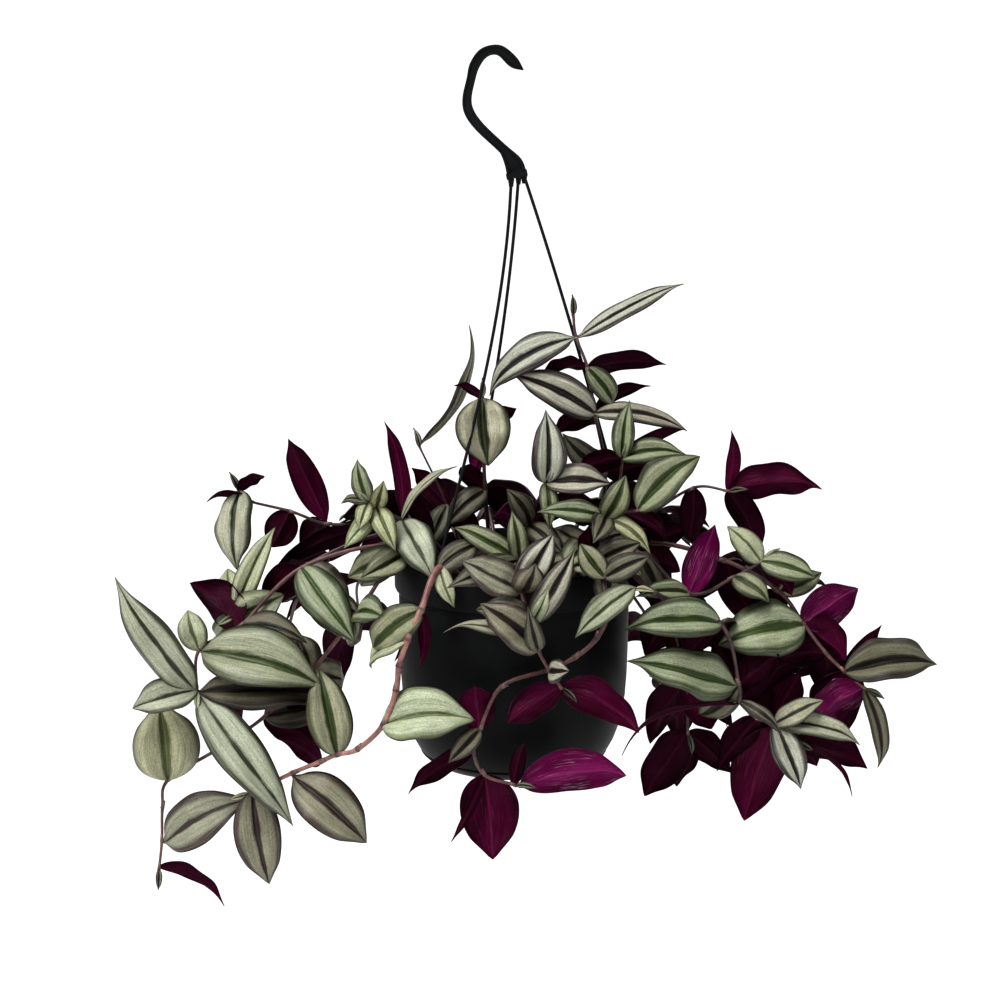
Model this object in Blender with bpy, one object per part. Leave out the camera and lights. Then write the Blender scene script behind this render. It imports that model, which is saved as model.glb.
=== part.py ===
"""A trailing zebra plant in a hanging pot: pot, drip saucer, soil, hook, strands, stems and leaves.

The row frame is in metres, +Z up, +Y away from the front. Its origin is where the hook's arch
rests on whatever it hangs from. The plant is laid out in centimetres from the centre of the rim.
"""

import math

import bmesh
import bpy
from mathutils import Matrix, Vector
from mathutils.bvhtree import BVHTree

CM = 0.01
RIM_CENTRE = Vector((0.0136, 0.0, -0.3085))

POT_RADIUS = 7.5
POT_TURN_STEPS = 32
SOIL_TOP = -1.3
POT_OUTLINE = [
    (0, -13.05), (4.65, -13.05), (5.0, -12.98), (5.38, -12.78), (5.64, -12.55), (5.93, -12.52), (6.08, -12.3),
    (6.65, -11.0), (7.05, -9.0), (7.2, -6.0), (7.25, -2.2), (7.5, -2.0), (7.5, -0.15), (7.4, 0),
    (7.15, 0), (7.05, -0.2), (7.0, -6.0), (6.85, -8.9), (6.45, -10.7), (5.85, -11.95), (5.3, -12.4),
    (4.65, -12.75), (0, -12.75),
]
SAUCER_OUTLINE = [
    (0, -13.32), (4.75, -13.32), (5.2, -13.2), (5.65, -12.93), (5.92, -12.66), (5.92, -12.6), (5.74, -12.6),
    (5.45, -12.86), (5.05, -13.06), (4.7, -13.12), (0, -13.12),
]
SOIL_OUTLINE = [
    (0, -12.7), (4.6, -12.7), (5.25, -12.36), (5.78, -11.9), (6.38, -10.65), (6.78, -8.85), (6.93, -6.0),
    (6.96, SOIL_TOP), (0, SOIL_TOP),
]

# Centre line of the hook from its tip to its foot, from the seat: x, z and half the arm's width.
HOOK_LINE = [
    (1.9, -0.89, 0.03), (1.33, -0.46, 0.33), (0.6, 0.2, 0.32), (0.0, 0.3, 0.29), (-0.6, 0.03, 0.31),
    (-1.06, -0.65, 0.31), (-1.26, -1.4, 0.27), (-1.51, -2.6, 0.28), (-1.36, -3.45, 0.3), (-0.73, -4.32, 0.29),
    (0.4, -5.38, 0.28), (0.8, -5.78, 0.32), (1.3, -6.5, 0.55), (1.5, -7.08, 0.6),
]
HOOK_DEPTH = 0.55
HOOK_FOOT = (1.3, 1.1, 0.3)
HOOK_FOOT_CENTRE = (0.15, 0.0, 23.67)
HOOK_FOOT_TILT = math.radians(-12)

# Heading of each strand round the pot, where it leaves the hook's foot and how far it bows inwards.
STRANDS = {
    "strand_front_left": (-38, (-0.2, -0.3), 1.5),
    "strand_back_left": (-158, (0.25, 0.3), 1.1),
    "strand_right": (97, (0.6, 0.2), -0.25),
}
STRAND_RADIUS = 0.1
STRAND_STEPS = 9

GAP = 0.03
LEAF_THICKNESS = 0.09
GUARD_THICKNESS = 0.22
OWN_LEAF_RINGS = 7
JOINED_LEAF_RINGS = 5
OWN_LEAVES = 27

# Each vine has its stem's radius, its route of nodes and its leaves. A leaf has the node that it
# grows from, its tip, its full width, the way its upper face looks and its colouring.
VINES = {
    "stem_left_long": (0.16, [
        (-3.0, -1.0, -1.0), (-7.4, -2.0, 1.0), (-13.1, -3.0, -0.2), (-16.9, -4.0, -3.7), (-19.3, -5.0, -4.9),
        (-19.4, -6.0, -7.3),
    ], [
        (5, (-24.1, -7.0, 0.0), 2.6, (-0.3, -1, 0.4), "silver"),
        (5, (-22.9, -8.0, -7.0), 2.2, (0.1, -0.8, 0.6), "silver"),
        (5, (-13.3, -8.5, -14.9), 3.0, (0.4, -1, 0.3), "silver"),
        (4, (-11.7, -7.0, -6.4), 4.1, (0.1, -0.8, 0.7), "sage"),
        (5, (-10.6, -4.0, -8.3), 3.1, (0.1, -0.7, 0.7), "olive"),
        (4, (-20.1, -4.0, -2.6), 1.8, (0, -1, 0.2), "pale"),
        (3, (-20.1, -2.0, -1.4), 3.0, (0.3, 1, 0.1), "plum"),
        (3, (-13.0, -6.0, -4.0), 2.2, (0.1, -0.6, 0.8), "olive"),
        (2, (-9.0, -5.5, -3.8), 2.7, (0.1, -0.8, 0.5), "green"),
        (2, (-10.8, -3.5, -4.6), 1.9, (0.2, -0.8, 0.3), "green"),
        (1, (-9.6, -2.2, -1.6), 2.2, (0, -0.9, 0.4), "sage"),
        (2, (-15.6, -1.8, -2.8), 2.2, (0, 1, 0.2), "plum"),
    ]),
    "stem_left_short": (0.15, [
        (-3.6, 0.6, -1.0), (-7.5, -0.3, 1.4), (-12.9, -1.3, -0.4), (-17.3, -2.5, -3.4),
    ], [
        (3, (-16.0, -3.5, 2.5), 1.7, (-0.2, -1, 0), "pale"),
        (3, (-18.4, -3.0, -0.5), 2.0, (0, -1, 0.1), "pale"),
        (3, (-15.0, -2.5, -0.8), 2.4, (0.1, -1, 0.2), "pale"),
        (2, (-11.0, -0.6, -3.0), 2.1, (0.1, -1, 0.2), "olive"),
        (2, (-14.6, 0.4, -3.2), 2.0, (0, 1, 0.1), "plum"),
        (1, (-9.6, 0.6, -1.2), 2.0, (0, 1, 0.2), "plum"),
        (3, (-15.2, -2.2, -5.6), 2.0, (0.1, -0.9, 0.4), "olive"),
        (3, (-19.0, -1.6, -5.6), 1.7, (-0.1, -1, 0.1), "green"),
        (3, (-13.8, -2.0, -3.8), 1.9, (0.1, -0.9, 0.3), "sage"),
        (2, (-12.0, -2.6, -4.0), 2.0, (0.1, -1, 0.2), "olive"),
    ]),
    "stem_low_left": (0.15, [
        (-4.0, -2.4, -1.0), (-6.8, -4.2, 0.9), (-9.6, -5.0, -2.6), (-12.6, -4.2, -6.6), (-15.5, -3.5, -9.6),
        (-18.5, -4.0, -11.6), (-21.5, -4.5, -13.4), (-21.9, -4.5, -15.2), (-22.0, -4.5, -17.4),
        (-22.2, -4.7, -19.2),
    ], [
        (6, (-21.9, -4.6, -8.3), 4.2, (0, -1, 0.1), "pale"),
        (8, (-16.6, -5.8, -14.2), 3.3, (0, -0.9, 0.5), "dusk"),
        (9, (-17.9, -6.0, -21.0), 1.6, (0, 0.8, 0.5), "plum"),
        (2, (-8.3, -7.0, -3.0), 2.2, (0, -0.8, 0.6), "green"),
        (3, (-13.9, -6.0, -8.4), 2.2, (-0.2, 0.9, 0.2), "plum"),
        (4, (-12.0, -3.0, -11.6), 2.2, (0.1, 0.9, 0.2), "plum"),
        (1, (-10.2, -4.6, -0.4), 2.2, (0, -0.9, 0.5), "green"),
        (1, (-9.4, -6.2, -0.2), 1.8, (0.1, -0.9, 0.4), "sage"),
        (2, (-12.0, -5.4, -1.6), 1.8, (0, -0.9, 0.4), "olive"),
        (4, (-11.2, -2.4, -8.8), 2.5, (0.1, -0.9, 0.4), "olive"),
        (3, (-14.0, -3.0, -4.4), 2.2, (0.1, -0.9, 0.3), "olive"),
        (3, (-10.2, -2.6, -7.6), 2.3, (0.1, -0.9, 0.3), "dusk"),
        (2, (-11.4, -4.0, -4.6), 1.9, (0.1, -0.9, 0.4), "dusk"),
        (3, (-10.9, -3.2, -5.6), 1.9, (0, 1, 0.2), "plum"),
    ]),
    "stem_front_left": (0.22, [
        (-2.5, -4.2, -1.0), (-4.5, -6.8, 0.7), (-5.6, -8.5, -1.5), (-6.4, -9.0, -3.2), (-6.9, -9.0, -4.8),
        (-7.1, -9.0, -6.3), (-7.9, -8.5, -8.6), (-9.5, -8.0, -10.3), (-10.8, -7.5, -10.8), (-11.8, -7.0, -11.4),
        (-13.6, -6.5, -12.3), (-16.3, -6.0, -13.8),
    ], [
        (6, (-2.5, -9.6, -7.8), 3.4, (0.1, -0.8, 0.6), "pale"),
        (8, (-11.9, -6.0, -5.8), 2.8, (0.2, -1, 0.1), "sage"),
        (10, (-9.0, -7.6, -16.4), 3.4, (0.3, -0.9, 0.2), "dusk"),
        (11, (-15.1, -7.0, -19.4), 2.9, (0.1, -1, 0.1), "dusk"),
        (9, (-14.4, -5.0, -10.4), 1.8, (0, 0.9, 0.2), "plum"),
        (2, (-5.6, -8.6, -5.0), 0.9, (0.3, 0.9, 0), "wine"),
        (2, (-8.7, -7.6, -4.2), 2.4, (0, -0.8, 0.5), "green"),
        (3, (-9.8, -7.2, -4.9), 1.6, (0, -0.7, 0.7), "pale"),
        (1, (-2.0, -5.6, 2.0), 1.7, (0, -0.9, 0.5), "olive"),
        (1, (-3.6, -7.9, -1.5), 1.2, (0, -1, 0.2), "pale"),
    ]),
    "stem_upper_left": (0.13, [
        (-4.4, 1.6, -1.0), (-7.1, 1.2, 1.6), (-9.6, 1.0, 1.7), (-11.9, 1.0, 1.7), (-14.1, 1.0, 2.5),
        (-16.8, 1.0, 3.2), (-17.3, 1.0, 3.9),
    ], [
        (3, (-14.1, 0.0, 7.4), 1.9, (-0.3, 1, 0.1), "wine"),
        (4, (-15.2, -0.2, 0.4), 2.1, (0, 1, 0), "plum"),
        (2, (-15.5, -0.4, -0.7), 1.5, (0, 1, 0.3), "plum"),
        (5, (-19.2, 0.0, 3.5), 1.3, (0, 0.3, 1), "plum"),
        (6, (-15.6, 0.3, 5.0), 1.4, (0, 0.4, 1), "plum"),
        (6, (-17.3, -1.5, -0.7), 2.6, (-0.3, -1, 0.2), "silver"),
        (2, (-11.6, 0.8, -0.9), 1.9, (0, 1, 0.2), "plum"),
        (1, (-9.2, 2.2, -0.4), 1.9, (0, 1, 0.3), "plum"),
        (3, (-13.6, 2.0, -0.2), 1.9, (0, 1, 0.3), "plum"),
    ]),
    "stem_young_left": (0.15, [
        (-3.0, -1.8, -1.0), (-5.2, -2.6, 1.6), (-6.9, -3.0, 2.8), (-8.4, -4.0, 3.8), (-9.0, -4.5, 4.3),
    ], [
        (2, (-4.9, -6.4, 0.1), 2.5, (0.2, -1, 0.4), "silver"),
        (4, (-9.6, -4.0, 6.8), 1.3, (-0.2, -1, 0), "green"),
        (4, (-10.6, -4.0, 4.2), 0.9, (0, -0.5, 0.8), "olive"),
        (2, (-7.9, -2.0, 8.8), 1.2, (0.5, 1, 0), "wine"),
        (3, (-10.4, -5.0, 1.5), 1.3, (0, -0.8, 0.4), "young"),
        (3, (-7.6, -5.6, 1.2), 1.5, (0, -0.8, 0.5), "young"),
        (4, (-9.9, -5.2, 3.0), 1.1, (0, -0.6, 0.7), "young"),
        (3, (-7.9, -4.9, 5.6), 1.1, (0.2, -0.8, 0.3), "young"),
        (2, (-3.6, -3.2, 6.3), 1.2, (-0.6, -0.4, 0.8), "silver"),
        (1, (-6.6, -1.8, 4.6), 1.2, (0, 1, 0), "plum"),
    ]),
    "stem_tall_left": (0.1, [
        (-3.0, 0.6, -1.0), (-4.2, 0.5, 3.0), (-5.9, 0.2, 6.8),
    ], [
        (2, (-2.3, 0.0, 14.2), 1.9, (0.9, -0.35, -0.4), "silver"),
        (1, (-6.4, 1.5, 5.2), 1.6, (0, 1, 0.2), "plum"),
        (1, (-2.1, 1.5, 0.3), 1.8, (0, 1, 0.3), "plum"),
        (1, (-5.5, -0.6, 0.4), 1.6, (0, -1, 0.3), "olive"),
    ]),
    "stem_crown_left": (0.15, [
        (-1.4, 0.2, -1.0), (-1.8, -0.8, 4.2), (-1.9, -1.6, 8.0), (-2.0, -2.0, 10.3),
    ], [
        (3, (-1.6, -4.0, 6.6), 3.4, (0, -1, 0.3), "silver"),
        (3, (-3.4, -1.0, 11.1), 1.0, (0, 0.8, 0.6), "plum"),
        (1, (-3.4, -2.2, 6.1), 1.3, (0, 1, 0.2), "plum"),
        (2, (0.1, -1.6, 9.6), 1.4, (0, 0.8, 0.5), "plum"),
        (1, (0.6, 0.6, 1.9), 1.8, (0, 1, 0.4), "plum"),
        (1, (-4.2, -2.2, 2.3), 1.7, (0, -1, 0.5), "olive"),
        (2, (-2.6, -0.4, 5.0), 1.5, (0, 1, 0.2), "magenta"),
    ]),
    "stem_crown_front": (0.15, [
        (0.6, -2.2, -1.0), (0.9, -3.0, 2.5), (2.0, -4.0, 5.5),
    ], [
        (2, (1.9, -4.6, 9.9), 2.2, (0.1, -1, 0), "brown"),
        (2, (5.7, -5.0, 5.8), 2.1, (0, -0.8, 0.6), "brown"),
        (2, (2.1, -5.2, 2.7), 1.2, (0, -1, 0.2), "green"),
        (1, (-0.3, -4.6, 5.0), 1.7, (0.2, -0.9, 0.4), "olive"),
        (1, (-0.8, -5.2, 3.6), 2.2, (0.2, 0.9, 0.2), "magenta"),
        (1, (3.9, -1.6, 3.6), 1.7, (0, 1, 0.3), "plum"),
        (1, (3.0, -5.2, 1.2), 1.6, (0, -0.9, 0.5), "olive"),
    ]),
    "stem_climbing": (0.14, [
        (3.0, 1.5, -1.0), (5.2, 0.6, 2.3), (5.7, 0.0, 5.2), (5.0, -0.5, 9.0), (4.5, -0.7, 11.9),
        (3.8, -0.8, 13.8), (3.6, -0.8, 15.2),
    ], [
        (5, (10.4, 0.0, 17.1), 1.4, (-0.3, -0.8, 0.6), "brown"),
        (5, (-1.8, -0.6, 10.4), 2.3, (-0.3, -0.8, 0.7), "brown"),
        (3, (0.0, -1.8, 11.8), 2.4, (-0.1, -1, 0.4), "brown"),
        (3, (10.8, -0.2, 7.9), 1.7, (0.1, -0.7, 0.7), "brown"),
        (4, (9.4, 0.8, 12.0), 1.9, (0, 0.8, 0.5), "plum"),
        (4, (1.6, -0.6, 11.6), 1.2, (0, 0.7, 0.6), "plum"),
        (4, (6.4, 0.2, 9.2), 1.6, (0.1, -1, 0.2), "green"),
        (3, (8.7, 1.2, 10.3), 1.4, (0, 0.8, 0.5), "plum"),
        (2, (9.0, 2.4, 5.4), 2.0, (0.2, 0.9, 0.4), "plum"),
        (1, (7.6, 3.8, 4.0), 2.2, (0.2, 0.8, 0.6), "green"),
        (1, (2.4, 2.8, 3.0), 2.0, (0, 1, 0.4), "plum"),
        (2, (3.2, 1.8, 6.3), 2.0, (0, 1, 0.2), "plum"),
        (2, (3.0, 0.2, 7.6), 1.7, (-0.2, -1, 0.2), "olive"),
        (3, (2.4, 2.2, 7.2), 1.8, (0, 1, 0.3), "plum"),
        (1, (3.4, -0.2, 2.8), 1.7, (0, 1, 0.2), "plum"),
    ]),
    "stem_crown_right": (0.15, [
        (3.0, -2.6, -1.0), (4.3, -4.0, 1.4), (5.5, -5.0, 3.4), (7.6, -5.5, 4.0),
    ], [
        (2, (1.4, -6.2, 4.1), 1.5, (0, -0.8, 0.6), "green"),
        (2, (6.3, -5.6, 6.2), 1.7, (0, -1, 0), "green"),
        (3, (11.1, -5.0, 7.3), 2.6, (-0.2, -0.8, 0.5), "green"),
        (2, (8.6, -6.8, 3.2), 1.3, (0, -0.7, 0.7), "young"),
        (1, (6.4, -4.2, 0.9), 2.2, (0.2, 0.8, 0.4), "plum"),
        (1, (3.2, -7.6, 0.2), 2.0, (0, -0.9, 0.5), "sage"),
        (2, (3.8, -6.6, 1.1), 1.6, (0, -0.9, 0.5), "olive"),
        (1, (2.8, -4.8, 2.8), 1.7, (0, -0.8, 0.5), "dusk"),
        (1, (6.7, -5.4, 2.0), 2.0, (0, -0.9, 0.4), "brown"),
    ]),
    "stem_high_right": (0.13, [
        (4.6, -0.6, -1.0), (6.2, -1.2, 3.0), (6.7, -2.0, 6.6),
    ], [
        (2, (10.5, -3.2, 7.0), 1.7, (0, -0.8, 0.6), "green"),
        (2, (10.4, -1.9, 8.4), 1.2, (0, 0.8, 0.6), "plum"),
        (1, (9.6, -2.6, 4.6), 2.2, (0, 0.8, 0.6), "plum"),
        (1, (9.4, -3.8, 1.8), 2.4, (0, 0.9, 0.4), "plum"),
        (1, (3.6, -2.4, 2.6), 1.8, (0, 1, 0.3), "plum"),
        (2, (3.8, -1.2, 5.4), 1.7, (0, 1, 0.4), "plum"),
        (2, (8.6, -0.6, 9.2), 1.5, (0, -0.9, 0.4), "green"),
        (1, (4.3, -3.0, 2.6), 1.6, (0, 1, 0.2), "plum"),
    ]),
    "stem_upper_right": (0.13, [
        (4.4, 1.4, -1.0), (8.3, 1.2, 2.0), (11.2, 0.0, 4.2), (13.4, -1.0, 4.2),
    ], [
        (3, (19.0, -2.0, 4.8), 2.4, (0.1, 0.95, 0.35), "wine"),
        (3, (13.5, -1.0, 8.1), 1.0, (0.4, 0.9, 0), "wine"),
        (3, (15.4, -1.5, 0.3), 1.9, (0.3, 0.9, 0.2), "plum"),
        (2, (10.9, -1.4, 1.2), 1.7, (0.1, 1, 0.1), "plum"),
        (1, (12.5, 3.6, 1.4), 2.4, (0.4, 0.6, 0.7), "green"),
        (1, (10.2, 0.6, 0.4), 2.0, (0.1, 1, 0.3), "plum"),
    ]),
    "stem_right_front": (0.16, [
        (4.9, -2.4, -1.0), (7.6, -4.0, 1.0), (10.6, -5.6, -1.2), (13.4, -5.0, -0.3), (15.2, -4.4, 0.6),
    ], [
        (2, (12.1, -6.4, 3.4), 2.0, (0.2, 0.9, 0), "magenta"),
        (2, (7.6, -7.4, -0.6), 1.6, (0, -0.8, 0.6), "green"),
        (3, (15.4, -6.4, -1.4), 1.8, (0, -0.7, 0.7), "green"),
        (4, (13.0, -4.2, 2.7), 1.7, (0.1, -0.9, 0.3), "pale"),
        (4, (17.0, -5.2, -1.3), 1.7, (0, 0.8, 0.5), "wine"),
        (4, (18.2, -3.8, -0.7), 1.9, (0.1, -0.8, 0.6), "green"),
        (1, (10.0, -4.4, -0.4), 1.8, (0.1, 1, 0.3), "plum"),
        (1, (9.0, -5.0, -1.6), 1.8, (0, -0.9, 0.4), "olive"),
    ]),
    "stem_far_right": (0.17, [
        (5.6, -1.2, -1.0), (8.2, -1.8, 1.1), (13.0, -2.8, 0.2), (16.2, -4.2, -1.4), (17.7, -5.0, -3.3),
        (19.1, -5.0, -5.1), (20.3, -5.0, -6.3), (21.6, -5.0, -7.4),
    ], [
        (4, (12.7, -7.0, -4.6), 3.8, (-0.1, -0.9, 0.5), "green"),
        (4, (20.9, -5.0, -0.9), 2.9, (0.2, 0.9, 0.3), "magenta"),
        (5, (19.4, -4.0, -8.4), 2.4, (0.1, 0.9, 0.2), "plum"),
        (6, (26.2, -4.0, -6.0), 2.8, (0, -0.8, 0.6), "olive"),
        (7, (18.2, -6.4, -9.4), 2.8, (-0.3, 0.8, 0.2), "magenta"),
        (7, (22.7, -5.0, -12.6), 1.2, (0.3, -1, 0.1), "olive"),
        (6, (22.6, -4.0, -3.6), 1.1, (0.3, 0.9, 0), "plum"),
        (3, (19.6, -1.6, -1.6), 2.0, (0.3, 0.6, 0.7), "plum"),
        (2, (14.4, -0.4, -2.6), 2.4, (0.3, 0.9, 0.3), "plum"),
        (2, (10.8, -1.0, -3.0), 2.5, (0.2, 1, 0.2), "plum"),
        (2, (15.6, -1.8, -3.8), 2.4, (-0.2, 1, 0.2), "plum"),
        (3, (14.4, -3.0, -4.9), 2.5, (0.2, 1, 0.1), "plum"),
        (3, (17.6, -3.8, 1.2), 1.5, (0.2, -1, 0.1), "green"),
        (4, (20.6, -3.4, -4.6), 2.6, (0, 1, 0.4), "wine"),
        (4, (16.2, -3.2, -7.6), 2.6, (0.2, 1, 0.1), "plum"),
        (6, (20.2, -5.8, -10.6), 3.4, (-0.1, 1, 0.1), "wine"),
        (1, (10.6, -1.0, 2.8), 2.0, (0, 1, 0.2), "plum"),
        (1, (7.8, -2.8, 4.0), 1.8, (0, 1, 0.2), "plum"),
        (5, (16.6, -3.4, -4.8), 2.2, (0, 1, 0.3), "plum"),
        (4, (16.0, -3.0, -7.4), 2.4, (0.1, 1, 0.2), "plum"),
        (5, (17.8, -3.6, -7.8), 2.2, (0.1, 1, 0.2), "wine"),
    ]),
    "stem_low_right": (0.16, [
        (3.7, -3.9, -1.0), (5.6, -5.9, 1.1), (8.5, -7.2, -0.8), (12.4, -7.4, -2.6), (13.6, -7.0, -6.5),
        (13.7, -7.0, -7.6), (14.8, -6.5, -8.8), (16.0, -6.0, -9.3), (17.3, -5.5, -10.6),
    ], [
        (3, (6.6, -8.7, -2.5), 2.7, (0, -0.8, 0.6), "green"),
        (4, (6.8, -9.0, -4.4), 3.2, (0, -0.8, 0.6), "green"),
        (5, (6.2, -9.2, -9.6), 1.1, (0.3, 0.4, 0.9), "plum"),
        (5, (16.2, -8.2, -9.2), 1.0, (0, -0.5, 0.9), "plum"),
        (7, (17.6, -7.0, -13.2), 2.0, (0.2, -1, 0.1), "brown"),
        (7, (21.3, -6.2, -9.7), 1.7, (0, -0.7, 0.7), "silver"),
        (7, (14.2, -5.6, -15.6), 3.6, (0, 1, 0.2), "wine"),
        (7, (18.8, -6.6, -7.6), 1.7, (0, -0.7, 0.7), "silver"),
        (8, (21.9, -4.6, -12.4), 2.6, (0, 0.8, 0.5), "plum"),
        (8, (21.1, -5.6, -13.8), 0.9, (0, 0.4, 0.9), "olive"),
        (6, (12.4, -6.0, -12.2), 2.0, (0, 1, 0.2), "plum"),
        (6, (15.8, -5.6, -13.4), 2.8, (0, 1, 0.1), "plum"),
        (8, (18.8, -4.6, -14.2), 2.8, (0, 1, 0.1), "plum"),
        (8, (21.0, -3.6, -11.6), 2.4, (0, 1, 0.4), "plum"),
        (4, (11.0, -7.4, -9.4), 2.0, (0.1, -1, 0.1), "olive"),
        (1, (7.6, -7.4, 0.4), 1.6, (0, -0.9, 0.5), "green"),
        (1, (5.0, -8.8, -1.2), 2.0, (0, -0.9, 0.4), "dusk"),
        (5, (16.6, -5.2, -5.6), 2.5, (0, 1, 0.2), "plum"),
        (7, (17.6, -4.2, -6.6), 2.4, (0.1, 1, 0.2), "wine"),
        (3, (13.0, -4.6, -6.1), 2.3, (0.1, 1, 0.2), "plum"),
        (3, (11.0, -4.0, -5.6), 2.2, (0, 1, 0.2), "plum"),
        (4, (12.2, -5.0, -4.3), 2.2, (0, 1, 0.1), "plum"),
        (4, (15.3, -5.0, -4.9), 2.2, (0, 1, 0.1), "plum"),
        (6, (16.2, -4.2, -6.6), 2.0, (0, 1, 0.1), "plum"),
    ]),
    "stem_inner_right": (0.15, [
        (5.2, -2.0, -1.0), (7.4, -2.9, 1.0), (9.5, -4.0, -3.0), (10.6, -4.0, -7.0), (10.8, -4.0, -10.6),
    ], [
        (4, (8.0, -5.2, -14.2), 2.8, (0, 1, 0.2), "plum"),
        (4, (13.5, -4.0, -13.0), 2.1, (0, 1, 0.2), "plum"),
        (3, (8.2, -5.0, -10.8), 2.4, (-0.2, 1, 0.2), "plum"),
        (2, (11.6, -5.2, -7.2), 2.2, (0, 1, 0.2), "plum"),
        (3, (13.6, -3.0, -10.2), 2.4, (0.1, 1, 0.2), "plum"),
        (2, (13.9, -3.0, -5.6), 2.4, (0.1, 0.9, 0.4), "plum"),
        (1, (9.8, -1.2, -1.6), 2.0, (0, 1, 0.3), "plum"),
        (1, (6.6, -5.6, -1.0), 1.8, (0, 1, 0.4), "plum"),
        (2, (8.2, -2.6, -5.9), 2.5, (0.2, 1, 0.1), "plum"),
        (2, (12.2, -2.4, -4.6), 2.5, (0, 1, 0.2), "plum"),
        (3, (8.8, -1.8, -9.6), 2.6, (0.1, 1, 0), "plum"),
        (3, (11.0, -5.8, -10.4), 2.5, (0.1, 1, 0.1), "wine"),
        (4, (10.4, -4.4, -14.6), 2.6, (-0.1, 1, 0.1), "plum"),
        (1, (4.8, -2.8, 2.9), 1.8, (0, 1, 0.2), "plum"),
        (3, (13.8, -2.6, -7.6), 2.5, (0, 1, 0.2), "plum"),
        (2, (8.0, -1.8, -2.0), 1.8, (0, 1, 0.3), "plum"),
    ]),
    "stem_front_centre": (0.17, [
        (0.4, -4.6, -1.0), (0.3, -6.6, 1.1), (0.4, -8.6, -0.3), (1.0, -9.4, -2.0), (1.4, -9.7, -3.6),
        (2.1, -9.8, -4.9), (2.8, -9.6, -6.0),
    ], [
        (2, (2.3, -8.2, 3.1), 2.1, (0, -1, 0.1), "brown"),
        (2, (-3.1, -8.7, 1.6), 2.4, (0, -0.8, 0.5), "dusk"),
        (3, (3.6, -9.0, 2.4), 1.8, (0, -1, 0), "brown"),
        (1, (-4.0, -8.6, 0.0), 2.0, (0, -0.9, 0.5), "olive"),
        (4, (-2.0, -10.4, -0.6), 2.4, (0, -0.9, 0.4), "dusk"),
        (4, (-4.4, -10.2, -2.2), 1.5, (0, -0.3, 1), "silver"),
        (4, (0.6, -10.9, 0.0), 1.2, (0, -1, 0.2), "olive"),
        (5, (3.2, -10.8, -4.6), 1.6, (0.1, -0.9, 0.4), "brown"),
        (6, (7.5, -10.2, -8.4), 2.9, (0, 0.9, 0.4), "wine"),
        (6, (-0.5, -10.4, -7.9), 2.1, (0, 1, 0.2), "wine"),
        (1, (-4.2, -6.4, 2.4), 1.5, (0, -0.8, 0.6), "green"),
        (1, (-0.6, -6.3, 4.0), 1.3, (0, -1, 0), "green"),
        (3, (-1.4, -10.4, 0.2), 1.9, (0, -0.9, 0.4), "olive"),
        (3, (2.0, -10.6, 0.4), 1.0, (0.2, -1, 0.1), "pale"),
        (2, (-0.8, -9.8, 1.7), 2.0, (0, -0.9, 0.4), "dusk"),
    ]),
    "stem_front_right": (0.15, [
        (2.4, -4.4, -1.0), (3.6, -6.8, 1.0), (5.4, -8.0, 0.4), (7.2, -8.8, -0.1),
    ], [
        (3, (3.5, -9.7, -2.8), 1.8, (0, -0.8, 0.6), "sage"),
        (1, (5.2, -7.7, 1.6), 1.8, (0, -0.8, 0.5), "silver"),
        (2, (8.0, -8.4, 1.8), 1.6, (0, -0.9, 0.3), "olive"),
        (1, (1.6, -5.8, 2.0), 1.7, (0, -0.9, 0.5), "olive"),
        (2, (4.2, -7.6, 2.6), 1.6, (0, -1, 0.2), "sage"),
    ]),
    "stem_hanging_front": (0.18, [
        (3.2, -3.8, -1.0), (4.9, -6.6, 1.0), (5.5, -8.4, -1.6), (4.9, -8.5, -3.2), (3.6, -8.5, -4.4),
        (1.9, -8.5, -5.2), (-0.8, -8.6, -6.2), (-2.1, -8.9, -8.8), (-2.5, -9.0, -10.0), (-1.8, -9.0, -11.6),
        (0.1, -9.2, -12.2),
    ], [
        (7, (-2.4, -9.6, -5.8), 2.3, (-0.2, 1, 0), "wine"),
        (8, (-6.5, -9.6, -12.4), 1.5, (0, 0.9, 0.4), "brown"),
        (10, (6.7, -10.0, -11.0), 3.3, (0, 0.9, 0.4), "magenta"),
        (10, (0.6, -9.6, -9.3), 1.0, (0.2, 1, 0), "plum"),
        (9, (-1.3, -9.6, -16.7), 3.6, (0, 1, 0.1), "wine"),
        (9, (-3.8, -9.8, -15.6), 0.6, (0.2, 1, 0), "plum"),
        (1, (7.4, -6.0, 2.4), 1.8, (0, -0.9, 0.4), "olive"),
        (1, (3.4, -5.2, 2.9), 1.7, (0, 1, 0.3), "plum"),
        (7, (-4.0, -9.8, -10.6), 1.3, (0, -0.8, 0.5), "olive"),
    ]),
}

# The stems that trail behind the pot: heading round the pot from the front, how far each reaches
# from the axis and how low it hangs, with leaves set along it by turns to the left and right.
BACK_VINES = {
    "stem_back_1": (112, 17.0, -5.0), "stem_back_2": (140, 15.0, -11.0), "stem_back_3": (166, 16.0, -6.0),
    "stem_back_4": (193, 14.0, -12.0), "stem_back_5": (219, 17.0, -7.0), "stem_back_6": (247, 18.0, -10.0),
}
BACK_LOOKS = ("green", "plum", "silver", "plum", "brown", "plum")

COLOURS = {
    "silver": (0.50, 0.55, 0.45), "green": (0.25, 0.32, 0.18), "pale": (0.42, 0.50, 0.33),
    "young": (0.45, 0.50, 0.25), "olive": (0.20, 0.20, 0.10), "brown": (0.24, 0.20, 0.17),
    "sage": (0.27, 0.31, 0.20), "dusk": (0.26, 0.27, 0.17), "wine": (0.10, 0.005, 0.05),
    "magenta": (0.22, 0.01, 0.15), "plum": (0.08, 0.01, 0.05), "stem": (0.22, 0.10, 0.09),
    "plastic": (0.02, 0.021, 0.023), "soil": (0.035, 0.022, 0.014),
}


def place(x, y, z):
    """A point given in centimetres from the centre of the rim, in the row frame."""
    return RIM_CENTRE + Vector((x, y, z)) * CM


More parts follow.
